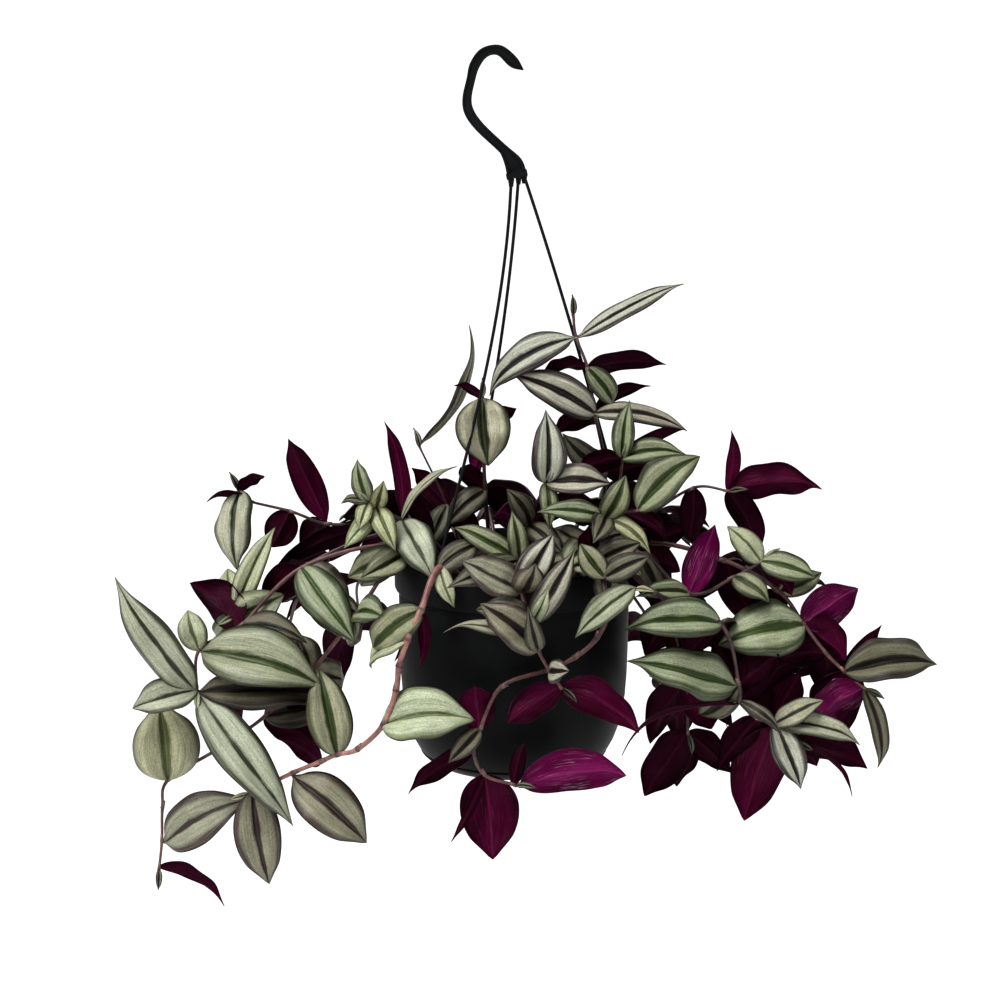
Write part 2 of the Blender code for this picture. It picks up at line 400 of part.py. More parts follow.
def clear_scene():
    for found in list(bpy.data.objects):
        bpy.data.objects.remove(found, do_unlink=True)


def material(name, colour, roughness):
    made = bpy.data.materials.new(name)
    made.use_nodes = True
    shader = made.node_tree.nodes["Principled BSDF"]
    shader.inputs["Base Color"].default_value = (*colour, 1)
    shader.inputs["Roughness"].default_value = roughness
    return made


def add_object(name, mesh, colour, roughness=0.5):
    mesh.shade_smooth()
    mesh.set_sharp_from_angle(angle=math.radians(40))
    made = bpy.data.objects.new(name, mesh)
    mesh.materials.clear()
    mesh.materials.append(material(name, colour, roughness))
    bpy.context.collection.objects.link(made)
    return made


def mesh_from(shape, name):
    bmesh.ops.recalc_face_normals(shape, faces=shape.faces)
    mesh = bpy.data.meshes.new(name)
    shape.to_mesh(mesh)
    shape.free()
    return mesh


def turned(name, outline, colour, roughness):
    """A body of revolution about the pot's axis, from an outline that starts and ends on it."""
    shape = bmesh.new()
    points = [shape.verts.new(place(r, 0, z)) for r, z in outline]
    lines = [shape.edges.new(pair) for pair in zip(points, points[1:])]
    bmesh.ops.spin(
        shape, geom=points + lines, cent=RIM_CENTRE, axis=(0, 0, 1), angle=math.tau,
        steps=POT_TURN_STEPS, use_merge=True,
    )
    bmesh.ops.remove_doubles(shape, verts=shape.verts, dist=0.00001)
    return add_object(name, mesh_from(shape, name), colour, roughness)


def through(points, steps):
    """Points along a smooth Catmull-Rom curve, with the given steps between each pair of nodes."""
    ends = [2 * points[0] - points[1]] + points + [2 * points[-1] - points[-2]]
    found = []
    for a, b, c, d in zip(ends, ends[1:], ends[2:], ends[3:]):
        for step in range(steps):
            t = step / steps
            found.append(0.5 * (2 * b + (c - a) * t + (2 * a - 5 * b + 4 * c - d) * t**2
                                + (3 * b - a - 3 * c + d) * t**3))
    return found + [points[-1]]


def add_hook():
    """The hook's outline follows its centre line down one side and back up the other."""
    line = through([Vector(row) for row in HOOK_LINE], 3)
    near, far = [], []
    for index, row in enumerate(line):
        before = line[max(index - 1, 0)]
        after = line[min(index + 1, len(line) - 1)]
        along = Vector((after.x - before.x, after.y - before.y)).normalized()
        near.append(Vector((row.x - along.y * row.z, 0, row.y + along.x * row.z)) * CM)
        far.append(Vector((row.x + along.y * row.z, 0, row.y - along.x * row.z)) * CM)
    shape = bmesh.new()
    face = shape.faces.new([shape.verts.new(point) for point in near + far[::-1]])
    grown = bmesh.ops.extrude_face_region(shape, geom=[face])["geom"]
    moved = [item for item in grown if isinstance(item, bmesh.types.BMVert)]
    bmesh.ops.translate(shape, verts=moved, vec=(0, HOOK_DEPTH * CM, 0))
    bmesh.ops.translate(shape, verts=shape.verts, vec=(0, -HOOK_DEPTH * CM / 2, 0))
    hook = add_object("hanger_hook", mesh_from(shape, "hanger_hook"), COLOURS["plastic"], 0.45)
    foot = bmesh.new()
    bmesh.ops.create_cube(foot, size=CM)
    bmesh.ops.scale(foot, verts=foot.verts, vec=HOOK_FOOT)
    bmesh.ops.rotate(foot, verts=foot.verts, cent=(0, 0, 0), matrix=Matrix.Rotation(HOOK_FOOT_TILT, 3, "Y"))
    bmesh.ops.translate(foot, verts=foot.verts, vec=place(*HOOK_FOOT_CENTRE))
    join(hook, [add_object("hook_foot", mesh_from(foot, "hook_foot"), COLOURS["plastic"])])
    soften = hook.modifiers.new("soft_edges", "BEVEL")
    soften.width = 0.0005
    soften.segments = 1
    return hook


def join(target, helpers):
    """Unites the helpers with the target one by one, and hides them from the build."""
    for index, helper in enumerate(helpers):
        helper.hide_render = True
        helper.display_type = "WIRE"
        union = target.modifiers.new(f"joined_{index}", "BOOLEAN")
        union.operation = "UNION"
        union.solver = "EXACT"
        union.object = helper


def tube(name, points, radius, sides_extra):
    """A closed round tube along the points, as a mesh."""
    curve = bpy.data.curves.new(name, "CURVE")
    curve.dimensions = "3D"
    curve.bevel_depth = radius * CM
    curve.bevel_resolution = sides_extra
    curve.use_fill_caps = True
    spline = curve.splines.new("POLY")
    spline.points.add(len(points) - 1)
    for knot, point in zip(spline.points, points):
        knot.co = (*point, 1)
    guide = bpy.data.objects.new(name + "_guide", curve)
    bpy.context.collection.objects.link(guide)
    mesh = bpy.data.meshes.new_from_object(guide.evaluated_get(bpy.context.evaluated_depsgraph_get()))
    bpy.data.objects.remove(guide, do_unlink=True)
    shape = bmesh.new()
    shape.from_mesh(mesh)
    bmesh.ops.remove_doubles(shape, verts=shape.verts, dist=0.00001)
    bpy.data.meshes.remove(mesh)
    return mesh_from(shape, name)


def strand_points(azimuth, start, bow):
    """From under the hook's tilted foot, out in a slight bow and down over the outside of the rim."""
    angle = math.radians(azimuth)
    out = Vector((math.sin(angle), -math.cos(angle), 0))
    foot = Vector(HOOK_FOOT_CENTRE)
    drop = HOOK_FOOT[2] / 2 / math.cos(HOOK_FOOT_TILT) + 2 * GAP
    top = Vector((*start, foot.z - drop - (start[0] - foot.x) * math.tan(HOOK_FOOT_TILT)))
    rim = out * (POT_RADIUS + STRAND_RADIUS + GAP)
    route = []
    for step in range(STRAND_STEPS + 1):
        share = step / STRAND_STEPS
        route.append(top.lerp(rim, share) - out * bow * 4 * share * (1 - share)**1.5)
    return [place(*point) for point in route + [rim - Vector((0, 0, 1.2))]]


def back_vine(azimuth, reach, low):
    """A vine that climbs out over the rim and trails behind the pot, as a row of the vines' table."""
    angle = math.radians(azimuth)
    out = Vector((math.sin(angle), -math.cos(angle), 0))
    side = Vector((math.cos(angle), math.sin(angle), 0))
    route = [out * 4.8 + Vector((0, 0, -1.0)), out * 7.4 + Vector((0, 0, 1.3))]
    for step in (1, 2, 3, 4, 5):
        share = step / 5
        swing = 0.8 * math.sin(step * 2.1 + azimuth)
        route.append(out * (7.4 + (reach - 7.4) * share**0.7) + side * swing
                     + Vector((0, 0, 1.3 + (low - 1.3) * share**1.5)))
    leaves = []
    for index, node in enumerate(route[1:], 1):
        turn = 1 if index % 2 else -1
        tip = node + out * 2.4 + side * turn * 4.6 + Vector((0, 0, 1.4 - index * 0.75))
        leaves.append((index, tip, 2.7, out + Vector((0, 0, 0.9)), BACK_LOOKS[index % 6]))
    end = route[-1]
    leaves.append((len(route) - 1, end + out * 2.5 - Vector((0, 0, 5.6)), 3.0, out, BACK_LOOKS[azimuth % 6]))
    return (0.16, route, leaves)


def half_width(share):
    """Half the leaf's width at a share of its length, where 1 is the widest."""
    return share**0.7 * (1 - share)**1.05 / 0.308


def leaf_mesh(name, base, tip, width, face, thickness, rings=OWN_LEAF_RINGS, first=0.0):
    """A flattened tube of four sides, folded along its midrib, arched, and closed to a point at each end."""
    along = (tip - base).normalized()
    length = (tip - base).length
    up = (face - along * face.dot(along)).normalized()
    side = along.cross(up)
    shape = bmesh.new()
    grid = bmesh.ops.create_grid(shape, x_segments=rings, y_segments=4, size=1)["verts"]
    for vert in grid:
        share = first + (1 - first) * (vert.co.x + 1) / 2
        corner = round((vert.co.y + 1) * 2) % 4
        reach = half_width(share) * width / 2
        across = (-1, 0, 1, 0)[corner]
        lift = (0, 1, 0, -1)[corner] * thickness / 2 * min(1, half_width(share) * 2)
        rise = 0.10 * length * 4 * share * (1 - share) + 0.22 * abs(across) * reach
        vert.co = base + along * length * share + side * across * reach + up * (rise + lift)
    bmesh.ops.remove_doubles(shape, verts=shape.verts, dist=0.00001)
    return mesh_from(shape, name)


def tree_of(mesh):
    points = [vert.co.copy() for vert in mesh.vertices]
    return BVHTree.FromPolygons(points, [tuple(face.vertices) for face in mesh.polygons])


def leaf_start(route, node, tip, radius, own):
    """Where a leaf leaves its stem: just inside the stem, or clear of its skin for a leaf of its own."""
    here = route[node]
    along = (tip - here).normalized()
    if not own:
        back = (route[node - 1] - here).normalized() if node == len(route) - 1 else Vector()
        return here + (back - along * 0.3) * radius * CM
    if node < len(route) - 1:
        stem_way = (route[node + 1] - route[node - 1]).normalized()
        along = (along - stem_way * along.dot(stem_way)).normalized()
    return here + along * (radius + 0.16) * CM


# Turns tried one after another when a leaf would touch something: swing about its face, then tilt.
TURNS = sorted(
    ((swing, tilt) for swing in range(-48, 49, 8) for tilt in range(-48, 49, 8)),
    key=lambda turn: (turn[0]**2 + turn[1]**2, turn),
)


def turned_tip(base, tip, face, swing, tilt):
    along = tip - base
    side = along.cross(face).normalized()
    turn = Matrix.Rotation(math.radians(tilt), 3, side) @ Matrix.Rotation(math.radians(swing), 3, face)
    return base + turn @ along, turn @ face


def find_room(base, tip, width, face, own, stem, taken):
    """The tip and facing for which the leaf clears everything set so far, as near as can be to those given."""
    for scale in (1.0, 0.85, 0.7):
        for swing, tilt in TURNS:
            new_tip, new_face = turned_tip(base, base + (tip - base) * scale, face, swing, tilt)
            form = (base, new_tip, width * scale, new_face, GUARD_THICKNESS * CM)
            whole = tree_of(leaf_mesh("trial", *form))
            tail = tree_of(leaf_mesh("trial", *form, first=0.12))
            if all(clear(whole, tail, own, stem, other) for other in taken):
                return new_tip, new_face, width * scale, whole, tail
    return None


def clear(whole, tail, own, stem, other):
    """Leaves that are joined to one stem may meet near it, and a joined leaf starts inside its stem."""
    kind, other_stem, other_whole, other_tail = other
    if stem == other_stem and not own:
        if kind == "stem":
            return True
        if kind == "joined":
            return not tail.overlap(other_tail)
    return not whole.overlap(other_whole)


def all_vines():
    vines = {}
    for name, (radius, route, leaves) in VINES.items():
        vines[name] = (radius, [Vector(point) for point in route], leaves)
    for name, (azimuth, reach, low) in BACK_VINES.items():
        vines[name] = back_vine(azimuth, reach, low)
    return vines


def add_plant(obstacles):
    vines = all_vines()
    stems = {}
    taken = [("part", "", tree_of(found.data), None) for found in obstacles]
    for name, (radius, route, _) in vines.items():
        mesh = tube(name, [place(*point) for point in through(route, 2)], radius, 1)
        stems[name] = add_object(name, mesh, COLOURS["stem"])
        taken.append(("stem", name, tree_of(mesh), None))
    rows = []
    for name, (radius, route, leaves) in vines.items():
        for node, tip, width, face, look in leaves:
            rows.append((name, node, Vector(tip), width, Vector(face).normalized(), look))
    lengths = sorted(((row[2] - vines[row[0]][1][row[1]]).length for row in rows), reverse=True)
    joined = {name: [] for name in vines}
    count = 0
    for name, node, tip, width, face, look in rows:
        radius, route, _ = vines[name]
        own = (tip - route[node]).length >= lengths[OWN_LEAVES - 1]
        points = [place(*point) for point in route]
        base = leaf_start(points, node, place(*tip), radius, own)
        room = find_room(base, place(*tip), width * CM, face, own, name, taken)
        if room is None:
            print("no room for a leaf of", name, "at node", node)
            continue
        new_tip, new_face, new_width, whole, tail = room
        taken.append(("own" if own else "joined", name, whole, tail))
        count += own
        label = f"leaf_{count:02d}" if own else f"{name}_leaf_{len(joined[name])}"
        rings = OWN_LEAF_RINGS if own else JOINED_LEAF_RINGS
        mesh = leaf_mesh(label, base, new_tip, new_width, new_face, LEAF_THICKNESS * CM, rings)
        leaf = add_object(label, mesh, COLOURS[look])
        if not own:
            joined[name].append(leaf)
    for name, leaves in joined.items():
        if leaves:
            join(stems[name], leaves)


clear_scene()
pot = turned("pot", POT_OUTLINE, COLOURS["plastic"], 0.5)
saucer = turned("drip_saucer", SAUCER_OUTLINE, COLOURS["plastic"], 0.5)
soil = turned("soil", SOIL_OUTLINE, COLOURS["soil"], 0.95)
add_hook()
strands = []
for strand_name, strand in STRANDS.items():
    strand_mesh = tube(strand_name, strand_points(*strand), STRAND_RADIUS, 1)
    strands.append(add_object(strand_name, strand_mesh, COLOURS["plastic"], 0.45))
add_plant([pot, saucer, soil] + strands)
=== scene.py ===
import math
import random

import bmesh
import bpy
from mathutils import Matrix, Vector, noise
from mathutils.kdtree import KDTree


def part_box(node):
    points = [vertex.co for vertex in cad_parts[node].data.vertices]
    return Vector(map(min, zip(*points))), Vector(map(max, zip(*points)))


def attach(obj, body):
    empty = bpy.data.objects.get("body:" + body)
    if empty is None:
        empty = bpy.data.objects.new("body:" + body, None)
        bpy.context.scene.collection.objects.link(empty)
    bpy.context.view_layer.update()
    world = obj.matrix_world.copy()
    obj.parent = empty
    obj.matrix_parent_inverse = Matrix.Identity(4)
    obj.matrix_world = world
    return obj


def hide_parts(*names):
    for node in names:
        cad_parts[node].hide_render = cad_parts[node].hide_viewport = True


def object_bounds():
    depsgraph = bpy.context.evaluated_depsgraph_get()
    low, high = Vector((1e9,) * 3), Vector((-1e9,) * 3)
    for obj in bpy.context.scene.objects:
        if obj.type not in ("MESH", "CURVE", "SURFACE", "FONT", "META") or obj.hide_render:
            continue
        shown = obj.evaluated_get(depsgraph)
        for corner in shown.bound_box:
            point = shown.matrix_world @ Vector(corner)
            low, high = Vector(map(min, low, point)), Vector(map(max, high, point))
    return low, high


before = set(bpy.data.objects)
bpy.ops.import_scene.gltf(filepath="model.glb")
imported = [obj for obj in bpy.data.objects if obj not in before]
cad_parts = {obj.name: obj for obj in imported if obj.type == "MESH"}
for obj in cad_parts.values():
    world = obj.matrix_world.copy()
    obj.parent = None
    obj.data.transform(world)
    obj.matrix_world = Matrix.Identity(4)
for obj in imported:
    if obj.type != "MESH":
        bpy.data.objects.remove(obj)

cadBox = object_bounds()
cm = 0.01
weld = 0.00001
potLow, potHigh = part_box("pot")
rim = Vector(((potLow[0] + potHigh[0]) / 2, (potLow[1] + potHigh[1]) / 2, potHigh[2]))
potRadius = (potHigh[0] - potLow[0]) / 2 / cm


def place(x, y, z):
    return rim + Vector((x, y, z)) * cm  # centimetres from the centre of the rim


# Camera, lights and floor. The aim and the lights' spots are in centimetres from the rim, other
# lengths in metres.
stageLook = {
    "elevation": 12, "distance": 1.6, "aim": (-0.875, 0, 3.425), "lens": 92.16, "sensor": 36,
    "floorDrop": 0.38, "floorSize": 90, "floorColour": (0.92, 0.92, 0.92), "floorRoughness": 0.8,
    "areas": {"keyLight": ((-110, -120, 110), 12, 0.8), "fillLight": ((130, -110, 20), 3, 1.4)},
    "sunPower": 2.8, "sunAngle": 30, "sunWay": (0.40, 0.32, -1), "worldPower": 0.28,
}


def addCamera():
    camera = bpy.data.objects.new("camera", bpy.data.cameras.new("camera"))
    camera.data.lens = stageLook["lens"]
    camera.data.sensor_width = stageLook["sensor"]
    angle = math.radians(stageLook["elevation"])
    back = Vector((0, -math.cos(angle), math.sin(angle)))
    camera.location = place(*stageLook["aim"]) + stageLook["distance"] * back
    camera.rotation_euler = (math.pi / 2 - angle, 0, 0)
    bpy.context.collection.objects.link(camera)
    bpy.context.scene.camera = camera


def addArea(name, spot, power, size):
    lamp = bpy.data.objects.new(name, bpy.data.lights.new(name, "AREA"))
    lamp.data.energy = power
    lamp.data.size = size
    lamp.location = place(*spot)
    lamp.rotation_euler = (rim - lamp.location).to_track_quat("-Z", "Y").to_euler()
    bpy.context.collection.objects.link(lamp)


def addStage():
    world = bpy.data.worlds.new("studio")
    bpy.context.scene.world = world
    world.use_nodes = True
    backing = world.node_tree.nodes["Background"]
    backing.inputs["Color"].default_value = (1, 1, 1, 1)
    backing.inputs["Strength"].default_value = stageLook["worldPower"]
    bpy.context.scene.view_settings.view_transform = "Standard"
    bpy.context.scene.view_settings.look = "Medium High Contrast"
    for name, (spot, power, size) in stageLook["areas"].items():
        addArea(name, spot, power, size)
    sun = bpy.data.objects.new("softSun", bpy.data.lights.new("softSun", "SUN"))
    sun.data.energy = stageLook["sunPower"]
    sun.data.angle = math.radians(stageLook["sunAngle"])
    sun.rotation_euler = Vector(stageLook["sunWay"]).to_track_quat("-Z", "Y").to_euler()
    bpy.context.collection.objects.link(sun)
    shape = bmesh.new()
    bmesh.ops.create_grid(shape, x_segments=2, y_segments=2, size=stageLook["floorSize"])
    bmesh.ops.translate(shape, verts=shape.verts, vec=(0, 0, cadBox[0][2] - stageLook["floorDrop"]))
    mesh = bpy.data.meshes.new("floor")
    shape.to_mesh(mesh)
    shape.free()
    floor = bpy.data.objects.new("floor", mesh)
    made, _, shader = newMaterial("paleFloor")
    shader.inputs["Base Color"].default_value = (*stageLook["floorColour"], 1)
    shader.inputs["Roughness"].default_value = stageLook["floorRoughness"]
    mesh.materials.append(made)
    bpy.context.collection.objects.link(floor)


def newMaterial(name):
    made = bpy.data.materials.new(name)
    made.use_nodes = True
    return made, made.node_tree, made.node_tree.nodes["Principled BSDF"]


def wire(tree, socket, value):
    if isinstance(value, bpy.types.NodeSocket):
        tree.links.new(value, socket)
    else:
        socket.default_value = (*value, 1) if isinstance(value, tuple) else value


def calc(tree, operation, first, second=0.0, third=0.0, clamp=False):
    made = tree.nodes.new("ShaderNodeMath")
    made.operation = operation
    made.use_clamp = clamp
    for socket, value in zip(made.inputs, (first, second, third)):
        wire(tree, socket, value)
    return made.outputs[0]


def scaled(tree, value, factor, offset=0.0):
    return calc(tree, "MULTIPLY_ADD", value, factor, offset)


def swayed(tree, value, sway, reach):
    return scaled(tree, calc(tree, "SUBTRACT", sway, 0.5), reach, value)


def above(tree, value, start, slope):
    return calc(tree, "MULTIPLY", calc(tree, "SUBTRACT", value, start), slope, clamp=True)


def mix(tree, share, first, second, blend="MIX"):
    made = tree.nodes.new("ShaderNodeMixRGB")
    made.blend_type = blend
    for socket, value in zip(made.inputs, (share, first, second)):
        wire(tree, socket, value)
    return made.outputs[0]


def shaded(tree, colour, grey):
    made = tree.nodes.new("ShaderNodeCombineXYZ")
    for socket in made.inputs:
        wire(tree, socket, grey)
    return mix(tree, 1.0, colour, made.outputs[0], "MULTIPLY")


def grain(tree, coords, scale, detail=3.0, roughness=0.55, stretch=(1, 1, 1)):
    mapping = tree.nodes.new("ShaderNodeMapping")
    mapping.inputs["Scale"].default_value = stretch
    wire(tree, mapping.inputs["Vector"], coords)
    made = tree.nodes.new("ShaderNodeTexNoise")
    made.inputs["Scale"].default_value = scale
    made.inputs["Detail"].default_value = detail
    made.inputs["Roughness"].default_value = roughness
    wire(tree, made.inputs["Vector"], mapping.outputs[0])
    return made.outputs["Fac"]


def ramp(tree, share, stops):
    made = tree.nodes.new("ShaderNodeValToRGB")
    line = made.color_ramp
    while len(line.elements) < len(stops):
        line.elements.new(0.5)
    for element, (spot, colour) in zip(line.elements, stops):
        element.position = spot
        element.color = (*colour, 1)
    wire(tree, made.inputs[0], share)
    return made.outputs[0]


def bump(tree, shader, height, strength, distance):
    made = tree.nodes.new("ShaderNodeBump")
    made.inputs["Strength"].default_value = strength
    made.inputs["Distance"].default_value = distance
    wire(tree, made.inputs["Height"], height)
    wire(tree, shader.inputs["Normal"], made.outputs[0])


def objectCoords(tree):
    return tree.nodes.new("ShaderNodeTexCoord").outputs["Object"]


# Each look has its colours from midrib to margin, where its silver band starts and ends, in half
# widths of the leaf, and the look of its back. The purple looks are one leaf in lit and shaded
# copies, with painted light and painted shade in their colours.
leafLooks = {
    "silver": {"midrib": (0.024, 0.030, 0.012), "band": (0.40, 0.405, 0.305),
               "margin": (0.044, 0.050, 0.022), "bandStart": 0.13, "bandEnd": 0.80, "back": "plum"},
    "sage": {"midrib": (0.036, 0.056, 0.013), "band": (0.32, 0.335, 0.235),
             "margin": (0.050, 0.062, 0.025), "bandStart": 0.15, "bandEnd": 0.76, "back": "plum"},
    "green": {"midrib": (0.036, 0.060, 0.011), "band": (0.29, 0.31, 0.20),
              "margin": (0.032, 0.044, 0.014), "bandStart": 0.20, "bandEnd": 0.70, "back": "plum"},
    "pale": {"midrib": (0.09, 0.11, 0.042), "band": (0.42, 0.44, 0.30),
             "margin": (0.13, 0.145, 0.075), "bandStart": 0.12, "bandEnd": 0.84, "back": "rose"},
    "young": {"midrib": (0.09, 0.105, 0.034), "band": (0.44, 0.46, 0.29),
              "margin": (0.15, 0.16, 0.070), "bandStart": 0.18, "bandEnd": 0.68, "back": "rose"},
    "olive": {"midrib": (0.017, 0.014, 0.009), "band": (0.175, 0.170, 0.115),
              "margin": (0.030, 0.024, 0.016), "bandStart": 0.20, "bandEnd": 0.66, "back": "plum"},
    "dusk": {"midrib": (0.034, 0.020, 0.018), "band": (0.27, 0.265, 0.19),
             "margin": (0.048, 0.030, 0.026), "bandStart": 0.14, "bandEnd": 0.74, "back": "wine"},
    "brown": {"midrib": (0.014, 0.007, 0.008), "band": (0.45, 0.445, 0.36),
              "margin": (0.019, 0.010, 0.011), "bandStart": 0.20, "bandEnd": 0.70, "back": "plum"},
    "magenta": {"midrib": (0.030, 0.014, 0.016), "band": (0.24, 0.25, 0.19),
                "margin": (0.045, 0.022, 0.024), "bandStart": 0.22, "bandEnd": 0.66, "back": "magenta"},
    "wine": {"midrib": (0.026, 0.012, 0.014), "band": (0.22, 0.23, 0.17),
             "margin": (0.040, 0.022, 0.022), "bandStart": 0.24, "bandEnd": 0.62, "back": "wine"},
    "plum": {"midrib": (0.020, 0.012, 0.012), "band": (0.16, 0.17, 0.12),
             "margin": (0.032, 0.022, 0.018), "bandStart": 0.24, "bandEnd": 0.62, "back": "plum"},
}
# The purple backs are one underside in lit and shaded copies: the brightest holds painted light shining
# through the leaf, the two darker ones painted shade. The rose back is the pale young leaf's own colour.
backLooks = {
    # The last value of each back is its share of painted highlight streaks.
    "magenta": {"blade": (0.125, 0.0010, 0.058), "edge": (0.048, 0.0006, 0.021),
                "midrib": (0.24, 0.04, 0.13), "shine": 0.09, "paintedHighlightShare": 0.75},
    "wine": {"blade": (0.062, 0.0007, 0.022), "edge": (0.026, 0.0005, 0.009),
             "midrib": (0.11, 0.010, 0.045), "shine": 0.06, "paintedHighlightShare": 0.10},
    "plum": {"blade": (0.030, 0.0009, 0.0105), "edge": (0.013, 0.0006, 0.0045),
             "midrib": (0.056, 0.006, 0.022), "shine": 0.05, "paintedHighlightShare": 0.0},
    "rose": {"blade": (0.17, 0.13, 0.09), "edge": (0.13, 0.07, 0.065),
             "midrib": (0.24, 0.19, 0.12), "shine": 0.25, "paintedHighlightShare": 0.0},
}

# Sways and starts are in half widths of the leaf, and a slope is how fast a pattern comes in.
facePattern = {
    "streakScales": (5.0, 60.0, 40.0), "patchSway": 0.20, "streakSway": 0.17, "tintSway": 0.10,
    "mottleScale": 0.35, "mottleStart": 0.47, "mottleSlope": 5.0, "greening": 0.42,
    "rimStart": 0.90, "rimSlope": 12.0, "rimShare": 0.8, "rimColour": (0.022, 0.010, 0.012),
    "endPower": 7.0, "endShare": 0.8, "ribSlope": 34.0, "ribShare": 0.55, "ribLight": 2.2,
    "warm": (1.05, 0.99, 0.93), "cool": (0.95, 1.0, 1.0), "shine": 0.38, "bump": 0.6, "bumpDepth": 0.0007,
}
# The back's pale streaks are a painted highlight in its base colour, where it starts and how fast it comes
# in.
backPattern = {
    "patchSway": 0.9, "paintedHighlightStart": 0.56, "paintedHighlightSlope": 9.0, "paintedHighlightColour": (0.55, 0.33, 0.46),
    "ribSlope": 20.0, "ribShare": 0.75, "bump": 0.7, "bumpDepth": 0.0009,
}


def leafPlane(tree):
    uv = tree.nodes.new("ShaderNodeUVMap")
    uv.uv_map = "UVMap"
    parts = tree.nodes.new("ShaderNodeSeparateXYZ")
    wire(tree, parts.inputs[0], uv.outputs[0])
    along, sideways = parts.outputs[0], parts.outputs[1]
    attribute = tree.nodes.new("ShaderNodeAttribute")
    attribute.attribute_name = "tint"
    tint = attribute.outputs["Fac"]
    across = scaled(tree, calc(tree, "ABSOLUTE", calc(tree, "SUBTRACT", sideways, 0.5)), 2.0)
    streakSpot = tree.nodes.new("ShaderNodeCombineXYZ")  # long streaks run from base to tip
    for socket, value, scale in zip(streakSpot.inputs, (along, sideways, tint), facePattern["streakScales"]):
        wire(tree, socket, scaled(tree, value, scale))
    return along, across, tint, streakSpot.outputs[0]


def ribShare(tree, across, pattern):
    rib = calc(tree, "SUBTRACT", 1.0, scaled(tree, across, pattern["ribSlope"]), clamp=True)
    return scaled(tree, rib, pattern["ribShare"])


def faceSkin(name, look):
    made, tree, shader = newMaterial(name)
    along, across, tint, streakCoords = leafPlane(tree)
    coords = objectCoords(tree)
    streaks = grain(tree, streakCoords, 1.0, 4.0, 0.6)
    patches = grain(tree, coords, 70.0, 3.0, 0.5)
    cells = grain(tree, coords, 1000.0, 3.0, 0.7)
    wander = swayed(tree, across, patches, facePattern["patchSway"])
    wander = swayed(tree, wander, streaks, facePattern["streakSway"])
    wander = swayed(tree, wander, tint, facePattern["tintSway"])
    midrib, band, margin = look["midrib"], look["band"], look["margin"]
    start, end = look["bandStart"], look["bandEnd"]
    middle = (start + end) / 2
    greyer = tuple(0.80 * light + 0.20 * dark for light, dark in zip(band, margin))
    colour = ramp(tree, wander, [
        (0.0, midrib), (start - 0.04, midrib), (start + 0.05, band),
        (middle - 0.05, band), (middle + 0.03, greyer), (middle + 0.11, band),
        (end - 0.10, band), (end + 0.08, margin), (1.0, margin),
    ])
    mottle = grain(tree, streakCoords, facePattern["mottleScale"], 4.0, 0.65)
    mottle = above(tree, mottle, facePattern["mottleStart"], facePattern["mottleSlope"])
    outer = above(tree, wander, middle, 3.2)
    share = calc(tree, "MULTIPLY", mottle, calc(tree, "ADD", 0.35, outer), clamp=True)
    greening = mix(tree, facePattern["greening"], band, margin)
    colour = mix(tree, share, colour, mix(tree, 0.5, colour, greening))
    edge = above(tree, across, facePattern["rimStart"], facePattern["rimSlope"])
    colour = mix(tree, scaled(tree, edge, facePattern["rimShare"]), colour, facePattern["rimColour"])
    ends = calc(tree, "ABSOLUTE", scaled(tree, along, 2.0, -1.0))
    ends = calc(tree, "POWER", ends, facePattern["endPower"])
    colour = mix(tree, scaled(tree, ends, facePattern["endShare"]), colour, margin)
    shade = calc(tree, "MULTIPLY", scaled(tree, streaks, 1.24, 0.18), scaled(tree, cells, 1.5, 0.25))
    colour = shaded(tree, colour, shade)
    colour = shaded(tree, colour, scaled(tree, tint, 0.30, scaled(tree, patches, 0.54, 0.64)))
    ribColour = tuple(min(1, channel * facePattern["ribLight"] + 0.02) for channel in midrib)
    colour = mix(tree, ribShare(tree, across, facePattern), colour, ribColour)
    warmth = mix(tree, tint, facePattern["warm"], facePattern["cool"])
    wire(tree, shader.inputs["Base Color"], mix(tree, 1.0, colour, warmth, "MULTIPLY"))
    wire(tree, shader.inputs["Roughness"], scaled(tree, streaks, 0.36, 0.20))
    shader.inputs["Specular IOR Level"].default_value = facePattern["shine"]
    bump(tree, shader, scaled(tree, cells, 0.5, streaks), facePattern["bump"], facePattern["bumpDepth"])
    return made


def backSkin(name, look):
    made, tree, shader = newMaterial(name)
    _, across, tint, streakCoords = leafPlane(tree)
    coords = objectCoords(tree)
    streaks = grain(tree, streakCoords, 1.0, 3.0, 0.55)
    patches = grain(tree, coords, 55.0, 3.0, 0.5)
    fade = swayed(tree, across, patches, backPattern["patchSway"])
    colour = ramp(tree, fade, [(0.0, look["blade"]), (0.55, look["blade"]), (1.0, look["edge"])])
    shade = calc(tree, "MULTIPLY", scaled(tree, streaks, 0.68, 0.66), scaled(tree, tint, 0.40, 0.80))
    colour = shaded(tree, colour, shade)
    # Painted highlight: pale streaks along the ridges are mixed into the base colour, as a glossy reflection
    # would show.
    paintedHighlightMask = above(tree, streaks, backPattern["paintedHighlightStart"], backPattern["paintedHighlightSlope"])
    paintedHighlightMask = calc(tree, "MULTIPLY", paintedHighlightMask, above(tree, patches, 0.42, 4.0))
    colour = mix(tree, scaled(tree, paintedHighlightMask, look["paintedHighlightShare"]), colour, backPattern["paintedHighlightColour"])
    colour = mix(tree, ribShare(tree, across, backPattern), colour, look["midrib"])
    wire(tree, shader.inputs["Base Color"], colour)
    wire(tree, shader.inputs["Roughness"], scaled(tree, patches, 0.26, 0.26))
    shader.inputs["Specular IOR Level"].default_value = look["shine"]
    height = scaled(tree, grain(tree, coords, 900.0, 2.0), 0.4, streaks)
    bump(tree, shader, height, backPattern["bump"], backPattern["bumpDepth"])
    return made


